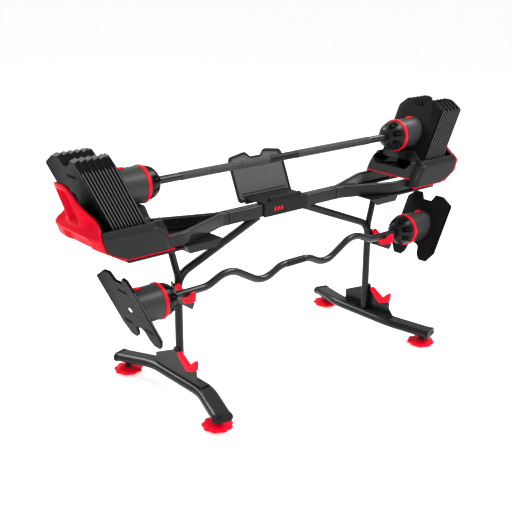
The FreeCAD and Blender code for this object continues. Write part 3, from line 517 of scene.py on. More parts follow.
class STATION_OT_beams(bpy.types.Operator):
    """The bowed beams with rounded corners, their rails and their middle joint"""
    bl_idname = "station.beams"
    bl_label = "Beams"

    def execute(self, context):
        sizes = context.scene.station_stand
        low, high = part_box("centre_beam")
        tall = high.z - low.z
        wide = 0.020
        bolted, rail_half, rail_thick = 0.2585, 0.021, 0.008
        gap = (high.y - low.y) / 2 - wide / 2
        rise = (low.z + high.z) / 2
        section = box_section(wide, tall, sizes.beam_round)
        bm = bmesh.new()
        for back in (-1, 1):
            sweep(bm, section, [Vector((low.x, back * gap, rise)), Vector((high.x, back * gap, rise))])
        finish_piece(bm, "middle_beams", "stand", "frame", ("centre_beam",))
        for hand, side in SIDES.items():
            node = f"beam_arms_{hand}"
            arm_low, arm_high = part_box(node)
            start = abs(high.x)
            rail_out = max(abs(arm_low.x), abs(arm_high.x))
            far = arm_high.y - rail_half
            under = arm_low.z
            bm = bmesh.new()
            for back in (-1, 1):
                bow = ((start, gap), (start + 0.032, gap), (start + 0.252, far), (rail_out - 0.050, far))
                corners = [(side * x, back * y, rise) for x, y in bow]
                sweep(bm, section, rounded(corners, 0.130, 10, closed=False))
                near, edges = start + bolted, (back * far - rail_half, back * far + rail_half)
                rail = [(side * near, edges[0]), (side * rail_out, edges[0]),
                        (side * rail_out, edges[1]), (side * near, edges[1])]
                prism(bm, rounded(rail, 0.008, 4), under, under + rail_thick,
                      lambda u, v, w: Vector((u, v, w)), 0.0015)
            finish_piece(bm, node + "_bows", "stand", "frame", (node,))
            bm = bmesh.new()
            seam = side * start
            for back in (-1, 1):
                path = [Vector((seam + side * x, back * gap, rise)) for x in (-0.0012, 0.0012)]
                sweep(bm, box_section(wide + 0.0012, tall + 0.0012, sizes.beam_round), path)
            finish_piece(bm, node + "_joint", "stand", "void_black")
        return {"FINISHED"}


# ---- media rack ----------------------------------------------------------------

class STATION_OT_media_rack(bpy.types.Operator):
    """The leaning board with its horns, the shelf and the front cover"""
    bl_idname = "station.media_rack"
    bl_label = "Media rack"

    def execute(self, context):
        low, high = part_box("media_panel")
        half = high.x
        lean = math.radians(23.5)
        foot = Vector((0, 0.086, low.z + 0.009 * math.sin(lean)))
        tilt = Matrix.Rotation(-lean, 3, "X")
        tall, horn = 0.168, 0.020

        def place(u, v, w):
            return foot + tilt @ Vector((u, w, v))

        outline = mirrored([(0.026, tall), (0.046, tall + horn), (0.060, tall + horn),
                            (half - 0.010, tall + horn / 2), (half, tall - 0.005), (half, 0.010),
                            (half - 0.010, 0.0)])
        shape = rounded(outline, 0.008, 4)
        inner = rounded([(u * 0.94, 0.009 + v * 0.90) for u, v in outline], 0.008, 4)
        bm = bmesh.new()
        band(bm, [[place(u, v, w) for u, v in edge]
                  for edge, w in ((shape, 0.0), (inner, 0.0), (inner, 0.0042), (shape, 0.0042))])
        finish_piece(bm, "media_board_rim", "stand", "plastic_dark")
        bm = bmesh.new()
        prism(bm, shape, 0.0035, 0.009, place, 0.0012)
        finish_piece(bm, "media_board", "stand", "board", ("media_panel",))
        bm = bmesh.new()
        for row in range(2):
            v, reach = 0.020 + row * 0.010, half - 0.022
            strip = [(-reach, v), (reach, v), (reach, v + 0.004), (-reach, v + 0.004)]
            prism(bm, rounded(strip, 0.0018, 3), 0.0018, 0.0040, place, 0.0006)
        finish_piece(bm, "media_grip_strips", "stand", "knob")
        self.shelf()
        return {"FINISHED"}

    def shelf(self):
        """The cover over the beams' middle, its lip and three plain stripes."""
        low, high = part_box("media_shelf")
        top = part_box("centre_beam")[1].z
        half = high.x
        deck = top + 0.006
        bm = bmesh.new()
        front = -0.0212
        cover = [(low.y, top - 0.048), (low.y, deck), (high.y, deck), (high.y, top - 0.021),
                 (high.y - 0.006, top - 0.021), (high.y - 0.006, top), (front, top), (front, top - 0.048)]
        prism(bm, cover, -half, half, lambda u, v, w: Vector((w, u, v)), 0.0018)
        finish_piece(bm, "media_cover", "stand", "plastic_dark", ("media_shelf",))
        bm = bmesh.new()
        lip = [(low.y + 0.0005, deck - 0.001), (low.y + 0.006, high.z),
               (low.y + 0.018, high.z), (low.y + 0.019, deck - 0.001)]
        lip = rounded(lip, [0, 0.004, 0.004, 0], 4)
        prism(bm, lip, -0.078, 0.078, lambda u, v, w: Vector((w, u, v)), 0.003, 3)
        finish_piece(bm, "media_lip", "stand", "plastic_dark")
        bm = bmesh.new()
        for k in range(3):
            offset = -0.062 + 0.016 * k
            badge = rounded([(offset, top - 0.030), (offset + 0.007, top - 0.030),
                             (offset + 0.012, top - 0.016), (offset + 0.005, top - 0.016)], 0.001, 3)
            prism(bm, badge, low.y - 0.0008, low.y + 0.001, lambda u, v, w: Vector((u, w, v)))
        finish_piece(bm, "cover_stripes", "stand", "tab_red")


# ---- bars ----------------------------------------------------------------------

class STATION_OT_bars(bpy.types.Operator):
    """The two shafts, with knurled grips and marker grooves"""
    bl_idname = "station.bars"
    bl_label = "Bars"

    def execute(self, context):
        low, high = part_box("barbell_shaft")
        axis = (low + high) / 2
        grip, bare = (high.z - low.z) / 2, BARE_BAR
        end = high.x
        # from the middle outwards: where the plain sleeve ends, two grooves, where the grip ends
        inner, outer = 0.070, 0.461
        grooves = (0.199, 0.335)
        bm = bmesh.new()
        lathe(bm, [(-end, 0.0), (-end, bare), (end, bare), (end, 0.0)], axis, 1, 40)
        finish_piece(bm, "barbell_bar", "barbell", "bar", ("barbell_shaft",))
        bm = bmesh.new()
        under, over = bare - 0.0002, bare + 0.0003
        lathe(bm, [(-inner, under), (-inner, over), (inner, over), (inner, under)], axis, 1, 40)
        finish_piece(bm, "barbell_middle", "barbell", "plastic_dark")
        for hand, side in SIDES.items():
            bm = bmesh.new()
            stops = [inner, grooves[0], grooves[0] + 0.003, grooves[1], grooves[1] + 0.003, outer]
            for start, stop in zip(stops[::2], stops[1::2]):
                sleeve = [(start, bare - 0.0005), (start, grip - 0.0005), (start + 0.0006, grip),
                          (stop - 0.0006, grip), (stop, grip - 0.0005), (stop, bare - 0.0005)]
                lathe(bm, sleeve, axis, side, 40)
            finish_piece(bm, f"barbell_grip_{hand}", "barbell", "knurled")
        self.curl_bar()
        return {"FINISHED"}

    def curl_bar(self):
        """The wavy tube. Rounding lowers its crests, which the added height makes up for."""
        low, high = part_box("curl_shaft")
        axis = (low + high) / 2
        wave = (high.z - low.z) / 2 - BARE_BAR + 0.0067
        half = [(0.070, 0.0), (0.160, -wave), (0.314, wave), (0.412, 0.0), (high.x, 0.0)]
        bends = [(-x, z) for x, z in reversed(half)] + half
        path = rounded([(x, axis.y, axis.z + z) for x, z in bends], 0.105, 12, closed=False)
        bm = bmesh.new()
        sweep(bm, ring_of_points(BARE_BAR, 28), path, Vector((0, 1, 0)))
        finish_piece(bm, "curl_bar_tube", "curl_bar", "bar", ("curl_shaft",))
        bm = bmesh.new()
        lathe(bm, [(-0.046, 0.0138), (-0.046, 0.0143), (0.046, 0.0143), (0.046, 0.0138)], axis, 1, 40)
        finish_piece(bm, "curl_bar_middle", "curl_bar", "plastic_dark")


# ---- weight heads --------------------------------------------------------------

def head_places():
    """Each head: the bar's name, its body, the hand, the side and a point on its axis."""
    for bar, body in BARS.items():
        axis = middle(f"{bar}_shaft")
        for hand, side in SIDES.items():
            yield bar, body, hand, side, Vector((0, axis.y, axis.z))


class STATION_OT_barrels(bpy.types.Operator):
    """Drums with a red ring, a rounded rim and a band before the plate"""
    bl_idname = "station.barrels"
    bl_label = "Barrels"

    def execute(self, context):
        sizes = context.scene.station_heads
        for bar, body, hand, side, axis in head_places():
            node = f"{bar}_barrel_{hand}"
            low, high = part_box(node)
            start = min(abs(low.x), abs(high.x))
            ring = (high.y - low.y) / 2
            drum = ring - 0.003
            reach = self.plate_reach()
            edge = sizes.edge
            far = reach + drum * math.tan(LEAN) + 0.010
            step = start + sizes.ring_band
            profile = [(start + 0.001, 0.0142), (start + 0.001, drum - 0.002), (step, drum - 0.001),
                       (step + 0.0008, drum), (far - 0.030, drum), (far, drum),
                       (far, drum - 0.005), (start + 0.008, drum - 0.005), (start + 0.008, 0.0142)]
            bm = bmesh.new()
            lathe(bm, profile, axis, side, 96)
            normal = Vector((side * math.cos(LEAN), 0, -math.sin(LEAN)))
            point = axis + Vector((side * reach, 0, 0))
            cut = bmesh.ops.bisect_plane(bm, geom=bm.verts[:] + bm.edges[:] + bm.faces[:],
                                         plane_co=point, plane_no=normal, clear_outer=True)
            loose = [e for e in cut["geom_cut"] if isinstance(e, bmesh.types.BMEdge)]
            bmesh.ops.triangle_fill(bm, edges=loose, use_beauty=True, use_dissolve=True)
            finish_piece(bm, node + "_drum", body, "barrel", (node,))
            bm = bmesh.new()
            hoop = [(start, drum - 0.006), (start, ring - 0.0015), (start + 0.0015, ring),
                    (step - edge, ring), (step - 0.0005, ring - 0.0012), (step, drum - 0.002)]
            lathe(bm, hoop, axis, side, 96)
            finish_piece(bm, node + "_ring", body, "tab_red")
            self.collar(node, body, axis, side, reach, drum)
        return {"FINISHED"}

    def plate_reach(self):
        """Where an end plate's inner face meets the axis."""
        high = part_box("barbell_end_plate_right")[1]
        top = high.z - middle("barbell_shaft").z
        return high.x - END_THICK * math.cos(LEAN) - top * math.tan(LEAN)

    def collar(self, node, body, axis, side, reach, drum):
        """A slightly larger band that follows the leaning plate around the drum."""
        section = ((-0.009, 0.0002), (-0.0082, 0.0014), (-0.0008, 0.0018),
                   (-0.0002, 0.0002), (-0.0002, -0.002), (-0.009, -0.002))
        rings = []
        for across, grow in section:
            circle = [Vector((0, y, z)) for y, z in ring_of_points(drum + grow, 96)]
            rings.append([axis + p + Vector((side * (reach + p.z * math.tan(LEAN) + across), 0, 0))
                          for p in circle])
        bm = bmesh.new()
        band(bm, rings)
        finish_piece(bm, node + "_collar", body, "knob")


class STATION_OT_knobs(bpy.types.Operator):
    """Domed selector knobs with grip windows, painted black inside as shade"""
    bl_idname = "station.knobs"
    bl_label = "Knobs"

    def execute(self, context):
        sizes = context.scene.station_heads
        for bar, _, hand, side, axis in head_places():
            node = f"{bar}_knob_{hand}"
            low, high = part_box(node)
            start, back = sorted((abs(low.x), abs(high.x)))
            radius = (high.y - low.y) / 2
            self.dome(sizes, node, axis, side, start, back, radius)
        return {"FINISHED"}

    def dome(self, sizes, node, axis, side, start, back, radius):
        """A dome given as shares of its length and radii for a knob of full size, and its inner ribs."""
        span = back - start
        full = 0.06
        dome = [(0.0, 0.0150), (0.0, 0.020), (0.0, 0.026), (0.03, 0.030), (0.10, 0.0345),
                (0.15, 0.038), (0.16, 0.0405), (0.24, 0.0455), (0.34, 0.0500), (0.44, 0.0532),
                (0.54, 0.0555), (0.64, 0.0572), (0.72, 0.0584), (0.80, 0.0592), (0.90, 0.0598),
                (0.97, 0.0600), (1.0, 0.0590), (1.0, 0.0150)]
        steps = sizes.windows * 16
        rows = []
        for share, reach in dome:
            row = []
            reach = reach * radius / full
            for step in range(steps):
                part = (step % 16) / 16
                open_side = smooth_step(0.20, 0.26, part) * (1 - smooth_step(0.74, 0.80, part))
                open_run = smooth_step(0.155, 0.22, share) * (1 - smooth_step(0.74, 0.82, share))
                dent = sizes.window_deep * open_side * open_run
                turn = math.tau * step / steps
                spot = reach - dent
                x = side * (start + span * share)
                row.append(axis + Vector((x, spot * math.cos(turn), spot * math.sin(turn))))
            rows.append(row)
        rows.append(rows[0])
        bm = bmesh.new()
        surface(bm, rows, closed_round=True)
        # Faces inside the grip windows take the black second material: painted shade for the windows' dark
        # insides.
        for index, face in enumerate(bm.faces):
            row, step = divmod(index, steps)
            in_window = 4 <= step % 16 < 12 and 6 <= row < 12
            face.material_index = int(in_window)
        bmesh.ops.remove_doubles(bm, verts=bm.verts, dist=1e-7)
        finish_piece(bm, node + "_dome", node, "knob", (node,), 28, ("void_black",))
        bm = bmesh.new()
        for window in range(sizes.windows):
            turn = math.tau * (window + 0.5) / sizes.windows
            x0, x1 = start + span * 0.34, start + span * 0.62
            radial = Vector((0, math.cos(turn), math.sin(turn)))
            tangent = Vector((0, -math.sin(turn), math.cos(turn)))
            foot = 0.0435 * radius / full

            def place(u, v, w):
                return axis + Vector((side * u, 0, 0)) + tangent * v + radial * w

            rib = rounded([(x0, -0.003), (x1, -0.003), (x1, 0.003), (x0, 0.003)], 0.002, 3)
            prism(bm, rib, foot, foot + 0.0075, place, 0.0008)
        finish_piece(bm, node + "_ribs", node, "knob")


class STATION_OT_lock_tabs(bpy.types.Operator):
    """Drop-shaped red release tabs, each over a black sheet painted as the shade around it"""
    bl_idname = "station.lock_tabs"
    bl_label = "Lock tabs"

    def execute(self, context):
        for bar, body, hand, side, axis in head_places():
            node = f"{bar}_lock_tab_{hand}"
            low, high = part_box(node)
            near, far = sorted((abs(low.x), abs(high.x)))
            wide = (high.y - low.y) / 2
            drop = [(near, 0.0)]
            for k in range(1, 15):
                share = k / 15
                drop.append((near + (far - near) * share, wide * math.sin(math.pi * share ** 1.6) ** 0.7))
            drop.append((far, 0.0))
            outline = [(x, axis.y + y) for x, y in drop] + [(x, axis.y - y) for x, y in drop[-2:0:-1]]
            bm = bmesh.new()
            prism(bm, outline, low.z + 0.004, high.z, lambda u, v, w: Vector((side * u, v, w)), 0.0012, 3)
            finish_piece(bm, node + "_drop", node, "tab_red", (node,), 40)
            # A black sheet under the tab's top, a little larger than the tab: painted shade in the gap around it.
            bm = bmesh.new()
            reach = wide + 0.0025
            well = [(near - 0.003, axis.y - reach), (far + 0.002, axis.y - reach),
                    (far + 0.002, axis.y + reach), (near - 0.003, axis.y + reach)]
            height = axis.z + 0.062
            prism(bm, rounded(well, 0.006, 5), height - 0.004, height - 0.0004,
                  lambda u, v, w: Vector((side * u, v, w)), 0.0006)
            finish_piece(bm, node + "_painted_gap_shade", body, "void_black")
        return {"FINISHED"}


def plate_half_outline(half, top, bottom):
    """The right half of a plate's outline, from the top notch to the bottom slot."""
    return [(0.024, top - 0.028), (0.039, top), (half - 0.045, top), (half, top - 0.028),
            (half, 0.043 - bottom), (half - 0.032, -bottom), (0.052, -bottom),
            (0.035, 0.021 - bottom), (0.028, 0.054 - bottom), (0.014, 0.062 - bottom)]


class STATION_OT_plates(bpy.types.Operator):
    """End plates and weight plates with folded wings and ribbed edges"""
    bl_idname = "station.plates"
    bl_label = "Plates"

    def execute(self, context):
        sizes = context.scene.station_heads
        for bar, body, hand, side, axis in head_places():
            node = f"{bar}_end_plate_{hand}"
            self.plate(sizes, node, body, side, axis, END_THICK, 1)
            self.face_details(sizes, node, body, side, axis, END_THICK, True)
        axis = middle("barbell_shaft")
        for hand, side in SIDES.items():
            for order in range(1, PLATES + 1):
                node = f"weight_plate_{hand}_{order}"
                self.plate(sizes, node, node, side, axis, PLATE_THICK, 2)
                if order == PLATES:
                    self.face_details(sizes, node, node, side, axis, PLATE_THICK, False)
        return {"FINISHED"}

    def frame_of(self, node, side, axis, thick):
        """Origin on the inner face where it meets the axis, from the node's box."""
        low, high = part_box(node)
        top = high.z - axis.z
        along_top = top / math.cos(LEAN)
        outer = max(abs(low.x), abs(high.x))
        x = outer - thick * math.cos(LEAN) - along_top * math.sin(LEAN)
        turn = Matrix.Rotation(side * LEAN, 3, "Y")
        origin = Vector((side * x, axis.y, axis.z))
        return origin, turn, along_top

    def plate(self, sizes, node, body, side, axis, thick, ribs):
        """One casting: grooves between its ribs, painted shade in the grooves and a painted highlight on the
        crests, and wings that bend out beyond two slanting lines.
        """
        origin, turn, top = self.frame_of(node, side, axis, thick)
        low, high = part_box(node)
        half = (high.y - low.y) / 2
        corners = mirrored(plate_half_outline(half, top, PLATE_DROP))
        radii = [0.004, 0.003, 0.012, 0.014, 0.012, 0.012, 0.006, 0.004, 0.006, 0.006]
        outline = rounded(corners, radii + radii[::-1], 4)
        fold_top, fold_low = (0.059, top), (0.124, -0.114)

        def fold(u, v):
            """How far beyond the fold line a point lies."""
            share = (fold_top[1] - v) / (fold_top[1] - fold_low[1])
            line = fold_top[0] + (fold_low[0] - fold_top[0]) * share
            return max(0.0, abs(u) - line)

        def place(u, v, w):
            out = fold(u, v) * sizes.fold / (half - fold_top[0])
            return origin + turn @ Vector((side * (w + out), u, v))

        def groove(u, v):
            """Grooves run along the front and rear edges only."""
            deep = sizes.rib_deep if v > 0.02 - PLATE_DROP else 0.0
            return deep * smooth_step(half - 0.030, half - 0.010, abs(u))

        levels = []
        pitch = thick / ribs
        for rib in range(ribs):
            base = rib * pitch
            levels += [(base, 1.0), (base + pitch * 0.16, 0.45), (base + pitch * 0.30, 0.0),
                       (base + pitch * 0.66, 0.0), (base + pitch * 0.80, 0.45)]
        levels.append((thick, 1.0))
        bm = bmesh.new()
        rows = []
        for level, share in levels:
            row = []
            for u, v in outline:
                shrink = groove(u, v) * share
                edge = 0.0009 if level in (0.0, thick) else 0.0
                pull = 1 - (shrink + edge) / max(abs(u), 0.02)
                row.append((u * pull, v, level))
            rows.append(row)
        verts = surface(bm, [[place(*p) for p in row] for row in rows], closed_round=True)
        # On the ribbed edges the groove walls take the black material as painted shade, and the rib crests take
        # the lighter grey as a painted highlight.
        for index, face in enumerate(bm.faces):
            row, step = divmod(index, len(outline))
            crest = levels[row][1] == levels[row + 1][1] == 0.0
            if groove(*outline[step]) > 0.6 * sizes.rib_deep and outline[step][1] < top - 0.024:
                face.material_index = 2 if crest else 1
        for ring in (verts[0], verts[-1]):
            bm.faces.new(ring)
        for sign in (-1, 1):
            one = origin + turn @ Vector((0, sign * fold_top[0], fold_top[1]))
            other = origin + turn @ Vector((0, sign * fold_low[0], fold_low[1]))
            normal = (turn @ Vector((1, 0, 0))).cross(other - one)
            bmesh.ops.bisect_plane(bm, geom=bm.verts[:] + bm.edges[:] + bm.faces[:],
                                   plane_co=one, plane_no=normal)
        finish_piece(bm, node + "_casting", body, "plate", (node,), 24, ("void_black", "plate_rim"))

    def face_details(self, sizes, node, body, side, axis, thick, screw):
        """Black discs painted as the shade in the holes and slots of an outer face, and an end plate's bright
        screw.
        """
        origin, turn, _ = self.frame_of(node, side, axis, thick)

        def place(u, v, w):
            return origin + turn @ Vector((side * w, u, v))

        bm = bmesh.new()
        for u, v in ((-0.026, 0.022), (0.026, 0.022), (-0.026, -0.022), (0.026, -0.022)):
            dot = [(u + a, v + b) for a, b in ring_of_points(0.0035, 16)]
            prism(bm, dot, thick - 0.001, thick + 0.0002, place)
        slots = [(0.0, 0.077, 0.028), (0.063, -0.072, 0.026), (-0.063, -0.072, 0.026)]
        for u, v, reach in slots:
            slot = [(u + a, v + b) for a, b in box_section(2 * reach, 0.012, 0.004, 4)]
            prism(bm, slot, thick - 0.001, thick + 0.0002, place)
        finish_piece(bm, node + "_painted_hole_shade", body, "void_black")
        if screw:
            bm = bmesh.new()
            prism(bm, ring_of_points(sizes.screw, 32), thick - 0.001, thick + 0.0022, place, 0.001, 3)
            finish_piece(bm, node + "_screw", body, "bright_steel")


# ---- trays ---------------------------------------------------------------------

def drawn_back(rise):
    """How far the apron's inner end draws back at a share of its height."""
    return 0.056 * (0.45 * rise ** 1.4 + 0.55 * (1 - math.sqrt(1 - 0.999 * rise ** 2)))


class TrayFrame:
    """Places of one tray, read from the frame."""

    def __init__(self, hand):
        self.side = SIDES[hand]
        shell_low, shell_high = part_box(f"tray_shell_{hand}")
        liner_low, liner_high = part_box(f"tray_liner_{hand}")
        self.out = max(abs(shell_low.x), abs(shell_high.x))
        self.end = min(abs(liner_low.x), abs(liner_high.x))
        self.half = shell_high.y
        self.skirt = liner_low.z
        self.crown = shell_high.z
        self.rise = middle("barbell_shaft").z
        self.rim = self.rise - 0.090
        self.crease = self.rise - 0.110
        self.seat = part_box("centre_beam")[1].z + 0.004
        self.bed = self.rise - 0.1376
        self.block_top = self.rise - 0.0665
        stack = self.out - 0.088
        self.line = [(self.skirt, stack - 0.058), (self.seat, stack + 0.004),
                     (self.crease, stack + 0.021), (self.crown, stack + 0.078)]

    def outer(self, z):
        """Where the outer wall stands at a height."""
        return along(self.line, z)

    def bow(self, y, z):
        """How far the outer wall bows out in the middle and in at its sides."""
        above = smooth_step(self.crease - 0.010, self.rim + 0.030, z)
        lip = (smooth_step(self.skirt + 0.020, self.skirt + 0.045, z)
               * (1 - smooth_step(self.crease - 0.004, self.crease + 0.018, z)))
        return 0.014 * lip * (1 - (y / self.half) ** 2) - 0.030 * above * min(1.0, abs(y) / 0.085) ** 2

    def at(self, x, y, z):
        """A point given for the right tray, on this tray's side."""
        return Vector((self.side * x, y, z))


class STATION_OT_tray_aprons(bpy.types.Operator):
    """The dark aprons that turn over at the tray's front and rear"""
    bl_idname = "station.tray_aprons"
    bl_label = "Tray aprons"

    def execute(self, context):
        sizes = context.scene.station_trays
        for hand in SIDES:
            tray = TrayFrame(hand)
            for end, back in ENDS.items():
                self.apron(sizes, tray, hand, end, back)
        return {"FINISHED"}

    def apron(self, sizes, tray, hand, end, back):
        """A skin along a bent line, wrapped around at its inner end."""
        half, skin = tray.half, sizes.skin
        corners = [(half - 0.0165, tray.rim - 0.044), (half - 0.0150, tray.rim),
                   (half - 0.010, tray.rim - 0.0015), (half, tray.crease),
                   (half - 0.001, tray.skirt + 0.001)]
        path = rounded(corners, [0, 0.0025, 0.004, sizes.crease_round, 0], 6, closed=False)
        fine = []
        for one, other in zip(path, path[1:]):
            pieces = max(1, int((other - one).length / 0.006))
            fine += [one.lerp(other, k / pieces) for k in range(pieces)]
        fine.append(path[-1])
        outer, inner = [], []
        for spot in fine:
            x_low, x_high = self.ends(tray, spot.x, spot.y)
            row_out, row_in = [], []
            for k in range(41):
                x = x_low + (x_high - x_low) * (k / 40) ** 1.8
                gap = max(0.0, sizes.wrap - (x - x_low))
                turn_in = sizes.wrap - math.sqrt(sizes.wrap ** 2 - gap ** 2)
                across = spot.x - turn_in
                inward = skin * gap / sizes.wrap
                row_out.append(tray.at(x, back * across, spot.y))
                row_in.append(tray.at(x + inward, back * (across - skin), spot.y - skin * 0.5))
            outer.append(row_out)
            inner.append(row_in)
        bm = bmesh.new()
        shell(bm, outer, inner)
        finish_piece(bm, f"tray_apron_{hand}_{end}", "stand", "tray_dark", (f"tray_liner_{hand}",), 40)
        self.seam(sizes, tray, hand, end, back)

    def ends(self, tray, y, z):
        """Inner and outer limit of the apron at a height."""
        span = tray.crease - tray.skirt
        rise = max(0.0, min(1.0, (z - tray.skirt) / span))
        sweep_in = drawn_back(rise)
        curve = tray.outer(z) + min(0.0, tray.bow(y, z)) - 0.008
        tip = 0.030
        share = max(0.0, 1 - (z - tray.skirt) / tip)
        return tray.end + sweep_in, curve - 0.016 * share * share

    def seam(self, sizes, tray, hand, end, back):
        """The thin red line under the apron and up its outer edge."""
        bm = bmesh.new()
        half = tray.half
        low = tray.skirt
        near, far = self.ends(tray, half, low)
        stop, under, over = far + 0.004, low - sizes.seam, low + 0.0005
        run = rounded([(near, under), (stop, under), (stop, over), (near, over)], 0.001, 2)
        prism(bm, run, half - 0.009, half + 0.0004, lambda u, v, w: tray.at(u, back * w, v))
        backing = [(far - 0.006, low), (tray.outer(low) - 0.001, low),
                   (tray.outer(low + 0.036) - 0.002, low + 0.036), (far + 0.010, low + 0.036)]
        prism(bm, backing, half - 0.0070, half - 0.0016, lambda u, v, w: tray.at(u, back * w, v))
        finish_piece(bm, f"tray_seam_{hand}_{end}", "stand", "tray_red")


class STATION_OT_tray_ends(bpy.types.Operator):
    """The red outer end with its handle recess, and the dark wall inside it"""
    bl_idname = "station.tray_ends"
    bl_label = "Tray ends"

    def execute(self, context):
        sizes = context.scene.station_trays
        for hand in SIDES:
            tray = TrayFrame(hand)
            self.red_end(sizes, tray, hand)
            self.lining(sizes, tray, hand)
            self.floor(tray, hand)
        return {"FINISHED"}

    def width(self, tray, z):
        """Half of the wall's width at a height."""
        table = [(tray.skirt, tray.half - 0.0005), (tray.crease, tray.half), (tray.rim, tray.half - 0.016),
                 (tray.rim + 0.018, 0.100), (tray.rim + 0.034, 0.078), ((tray.crown + tray.rim) / 2, 0.056),
                 (tray.crown - 0.020, 0.040), (tray.crown - 0.006, 0.034), (tray.crown, 0.026)]
        return along(table, z)

    def lowest(self, tray, y):
        """The wall's lower edge, higher in the middle than at the corners."""
        return tray.skirt + 0.030 * (1 - smooth_step(0.050, 0.132, abs(y)))

    def recess(self, sizes, tray, y, z):
        """Depth of the handle recess above and of the scoop below it."""
        upper = (smooth_step(tray.crease + 0.018, tray.crease + 0.050, z)
                 * (1 - smooth_step(tray.crown - 0.040, tray.crown - 0.014, z))
                 * (1 - smooth_step(0.018, 0.034, abs(y))))
        lower = (smooth_step(tray.skirt + 0.022, tray.skirt + 0.045, z)
                 * (1 - smooth_step(tray.crease - 0.022, tray.crease - 0.002, z))
                 * (1 - smooth_step(0.050, 0.085, abs(y))))
        return sizes.handle_deep * (upper + 0.55 * lower)

    def red_end(self, sizes, tray, hand):
        """The red wall, as a table of points from its lower edge to its crown."""
        outer, inner = [], []
        rows = 64
        for k in range(rows + 1):
            half = self.width(tray, tray.skirt + (tray.crown - tray.skirt) * k / rows)
            row_out, row_in = [], []
            for m in range(49):
                y = half * (m / 24 - 1)
                base = self.lowest(tray, y)
                z = base + (tray.crown - base) * k / rows
                dent = self.recess(sizes, tray, y, z)
                x = tray.outer(z) + tray.bow(y, z) - dent
                row_out.append(tray.at(x, y, z))
                row_in.append(tray.at(x - sizes.skin - 0.002, y * 0.985, z))
            outer.append(row_out)
            inner.append(row_in)
        bm = bmesh.new()
        shell(bm, outer, inner)
        finish_piece(bm, f"tray_end_{hand}", "stand", "tray_red", (f"tray_shell_{hand}",), 40)

    def lining(self, sizes, tray, hand):
        """The dark skin behind the red wall."""
        outer, inner = [], []
        rows = 40
        for k in range(rows + 1):
            z = tray.bed + (tray.crown - 0.0008 - tray.bed) * k / rows
            half = min(self.width(tray, z) - 0.0015, tray.half - 0.0155)
            row_out, row_in = [], []
            for m in range(25):
                y = half * (m / 12 - 1)
                x = tray.outer(z) + min(0.0, tray.bow(y, z)) - self.recess(sizes, tray, y, z)
                row_out.append(tray.at(x - sizes.skin - 0.0024, y * 0.985, z))
                row_in.append(tray.at(x - 0.014, y * 0.985, z))
            outer.append(row_out)
            inner.append(row_in)
        bm = bmesh.new()
        shell(bm, outer, inner)
        finish_piece(bm, f"tray_lining_{hand}", "stand", "tray_dark")

    def floor(self, tray, hand):
        """The bed under the plates."""
        bm = bmesh.new()
        near, base = tray.end + 0.050, tray.seat - 0.004
        outline = [(near, base), (tray.outer(tray.seat) - 0.018, base),
                   (tray.outer(tray.bed) - 0.012, tray.bed), (near, tray.bed)]
        half = tray.half - 0.0155
        prism(bm, outline, -half, half, lambda u, v, w: tray.at(u, w, v), 0.002)
        finish_piece(bm, f"tray_floor_{hand}", "stand", "tray_dark")


class STATION_OT_tray_blocks(bpy.types.Operator):
    """The inner block with its two cups and the red seam below"""
    bl_idname = "station.tray_blocks"
    bl_label = "Tray blocks"

    def execute(self, context):
        sizes = context.scene.station_trays
        for hand in SIDES:
            tray = TrayFrame(hand)
            edges = [0.001, 0.024, 0.014, 0.004, 0.003, 0.008, 0.008, 0.008, 0.008, 0.006]
            front = rounded(self.outline(tray, True), edges + edges[::-1], 5)
            back = rounded(self.outline(tray, False), 0.012, 5)
            bm = bmesh.new()

            def place(u, v, w):
                return tray.at(w + sizes.block_lean * (v - tray.seat), u, v)

            prism(bm, front, tray.end, tray.end + 0.049, place, sizes.cup_edge, 3)
            prism(bm, back, tray.end + 0.0485, tray.end + 0.060, place, 0.001)
            finish_piece(bm, f"tray_block_{hand}", "stand", "tray_dark", (), 40)
            bm = bmesh.new()
            half = tray.half - 0.030
            under, over = tray.seat - 0.0040, tray.seat - 0.0005
            line = rounded([(-half, under), (half, under), (half, over), (-half, over)], 0.001, 2)
            prism(bm, line, tray.end - 0.0008, tray.end + 0.006, place)
            finish_piece(bm, f"tray_block_seam_{hand}", "stand", "tray_red")
        return {"FINISHED"}

    def outline(self, tray, cups):
        """The block seen from the middle of the stand, with its two cups or without."""
        half = tray.half - 0.030
        low, rim, top = tray.seat - 0.0005, tray.rim, tray.block_top
        right = [(half, low), (half - 0.001, rim - 0.040), (half - 0.007, rim - 0.010),
                 (half - 0.0125, rim - 0.006)]
        if cups:
            reach, radius = 0.064, 0.036
            flat = radius * math.tan(LEAN)
            right += [(reach + radius, rim + 0.005), (reach + radius, rim - flat),
                      (reach + flat, rim - radius), (reach - flat, rim - radius),
                      (reach - radius, rim - flat), (reach - radius, top)]
        else:
            right += [(0.060, top)]
        return mirrored(right)


# ---- stage ---------------------------------------------------------------------

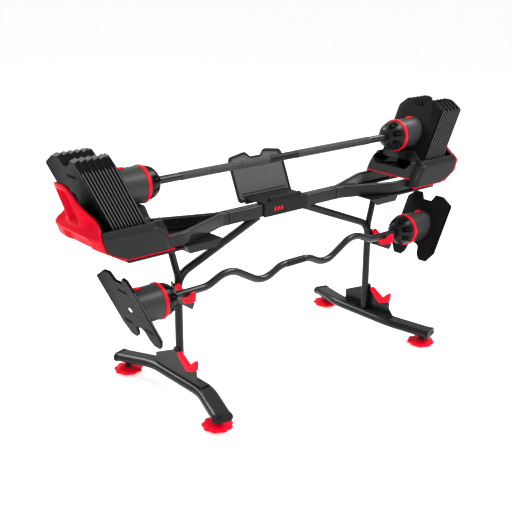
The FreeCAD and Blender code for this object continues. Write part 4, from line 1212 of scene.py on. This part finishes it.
class STATION_OT_stage(bpy.types.Operator):
    """Pale floor, soft light and the camera"""
    bl_idname = "station.stage"
    bl_label = "Stage"

    def execute(self, context):
        scene = context.scene
        bpy.ops.mesh.primitive_plane_add(size=60.0, location=(0, 0, -0.0005))
        floor = context.object
        floor.name = "floor"
        shade(blank("floor_pale"), {"Base Color": (0.90, 0.90, 0.90, 1.0), "Roughness": 0.6,
                                    "Specular IOR Level": 0.0, "Emission Strength": 0.42,
                                    "Emission Color": (1.0, 1.0, 1.0, 1.0)})
        floor.data.materials.append(bpy.data.materials["floor_pale"])
        world = bpy.data.worlds.new("studio")
        world.use_nodes = True
        glow = world.node_tree.nodes["Background"]
        glow.inputs["Color"].default_value = (1.0, 1.0, 1.0, 1.0)
        glow.inputs["Strength"].default_value = 0.62
        scene.world = world
        scene.view_settings.view_transform = "Standard"
        lamps = (
            ("key", (2.1, -0.9, 3.3), (3.0, 1.2), 150.0),
            ("rear", (-0.3, 3.0, 2.8), (2.4, 1.2), 130.0),
            ("left", (-2.8, 2.2, 2.2), (1.2, 1.2), 16.0),
            ("front", (-1.0, -3.0, 2.4), (1.6, 1.2), 45.0),
        )
        for name, spot, size, power in lamps:
            lamp = bpy.data.lights.new(name, "AREA")
            lamp.shape = "RECTANGLE"
            lamp.size, lamp.size_y = size
            lamp.energy = power
            item = bpy.data.objects.new(name, lamp)
            item.location = spot
            aim = Vector((0, 0, 0.45)) - Vector(spot)
            item.rotation_euler = aim.to_track_quat("-Z", "Y").to_euler()
            scene.collection.objects.link(item)
        lift, bearing, roll = math.radians(19.25), math.radians(40.27), math.radians(0.20)
        camera = bpy.data.cameras.new("camera")
        camera.sensor_width = 36.0
        camera.lens = 62.7
        view = bpy.data.objects.new("camera", camera)
        view.location = (-2.1557, -2.3971, 1.5495)
        look = Euler((math.pi / 2 - lift, 0, -bearing)).to_matrix()
        view.rotation_euler = (look @ Matrix.Rotation(roll, 3, "Z")).to_euler()
        scene.collection.objects.link(view)
        scene.camera = view
        return {"FINISHED"}


class STATION_PT_panel(bpy.types.Panel):
    """Buttons that build the pieces in order"""
    bl_idname = "STATION_PT_panel"
    bl_label = "Barbell station"
    bl_space_type = "VIEW_3D"
    bl_region_type = "UI"
    bl_category = "Barbell station"

    def draw(self, context):
        for group in GROUPS:
            sizes = getattr(context.scene, group)
            box = self.layout.box()
            for key in sizes.__annotations__:
                box.prop(sizes, key)
        for step in STEPS:
            self.layout.operator(step.bl_idname)


STEPS = (STATION_OT_materials, STATION_OT_feet, STATION_OT_base_caps, STATION_OT_hooks,
         STATION_OT_beams, STATION_OT_media_rack, STATION_OT_bars, STATION_OT_barrels,
         STATION_OT_knobs, STATION_OT_lock_tabs, STATION_OT_plates, STATION_OT_tray_aprons,
         STATION_OT_tray_ends, STATION_OT_tray_blocks, STATION_OT_stage)
GROUPS = {"station_stand": SizesOfStand, "station_trays": SizesOfTrays, "station_heads": SizesOfHeads}


def register():
    for item in (*GROUPS.values(), *STEPS, STATION_PT_panel):
        bpy.utils.register_class(item)
    for name, group in GROUPS.items():
        setattr(bpy.types.Scene, name, PointerProperty(type=group))


def unregister():
    for name in GROUPS:
        delattr(bpy.types.Scene, name)
    for item in reversed((*GROUPS.values(), *STEPS, STATION_PT_panel)):
        bpy.utils.unregister_class(item)


def main():
    register()
    for step in STEPS:
        group, name = step.bl_idname.split(".")
        getattr(getattr(bpy.ops, group), name)()


if __name__ == "__main__":
    main()
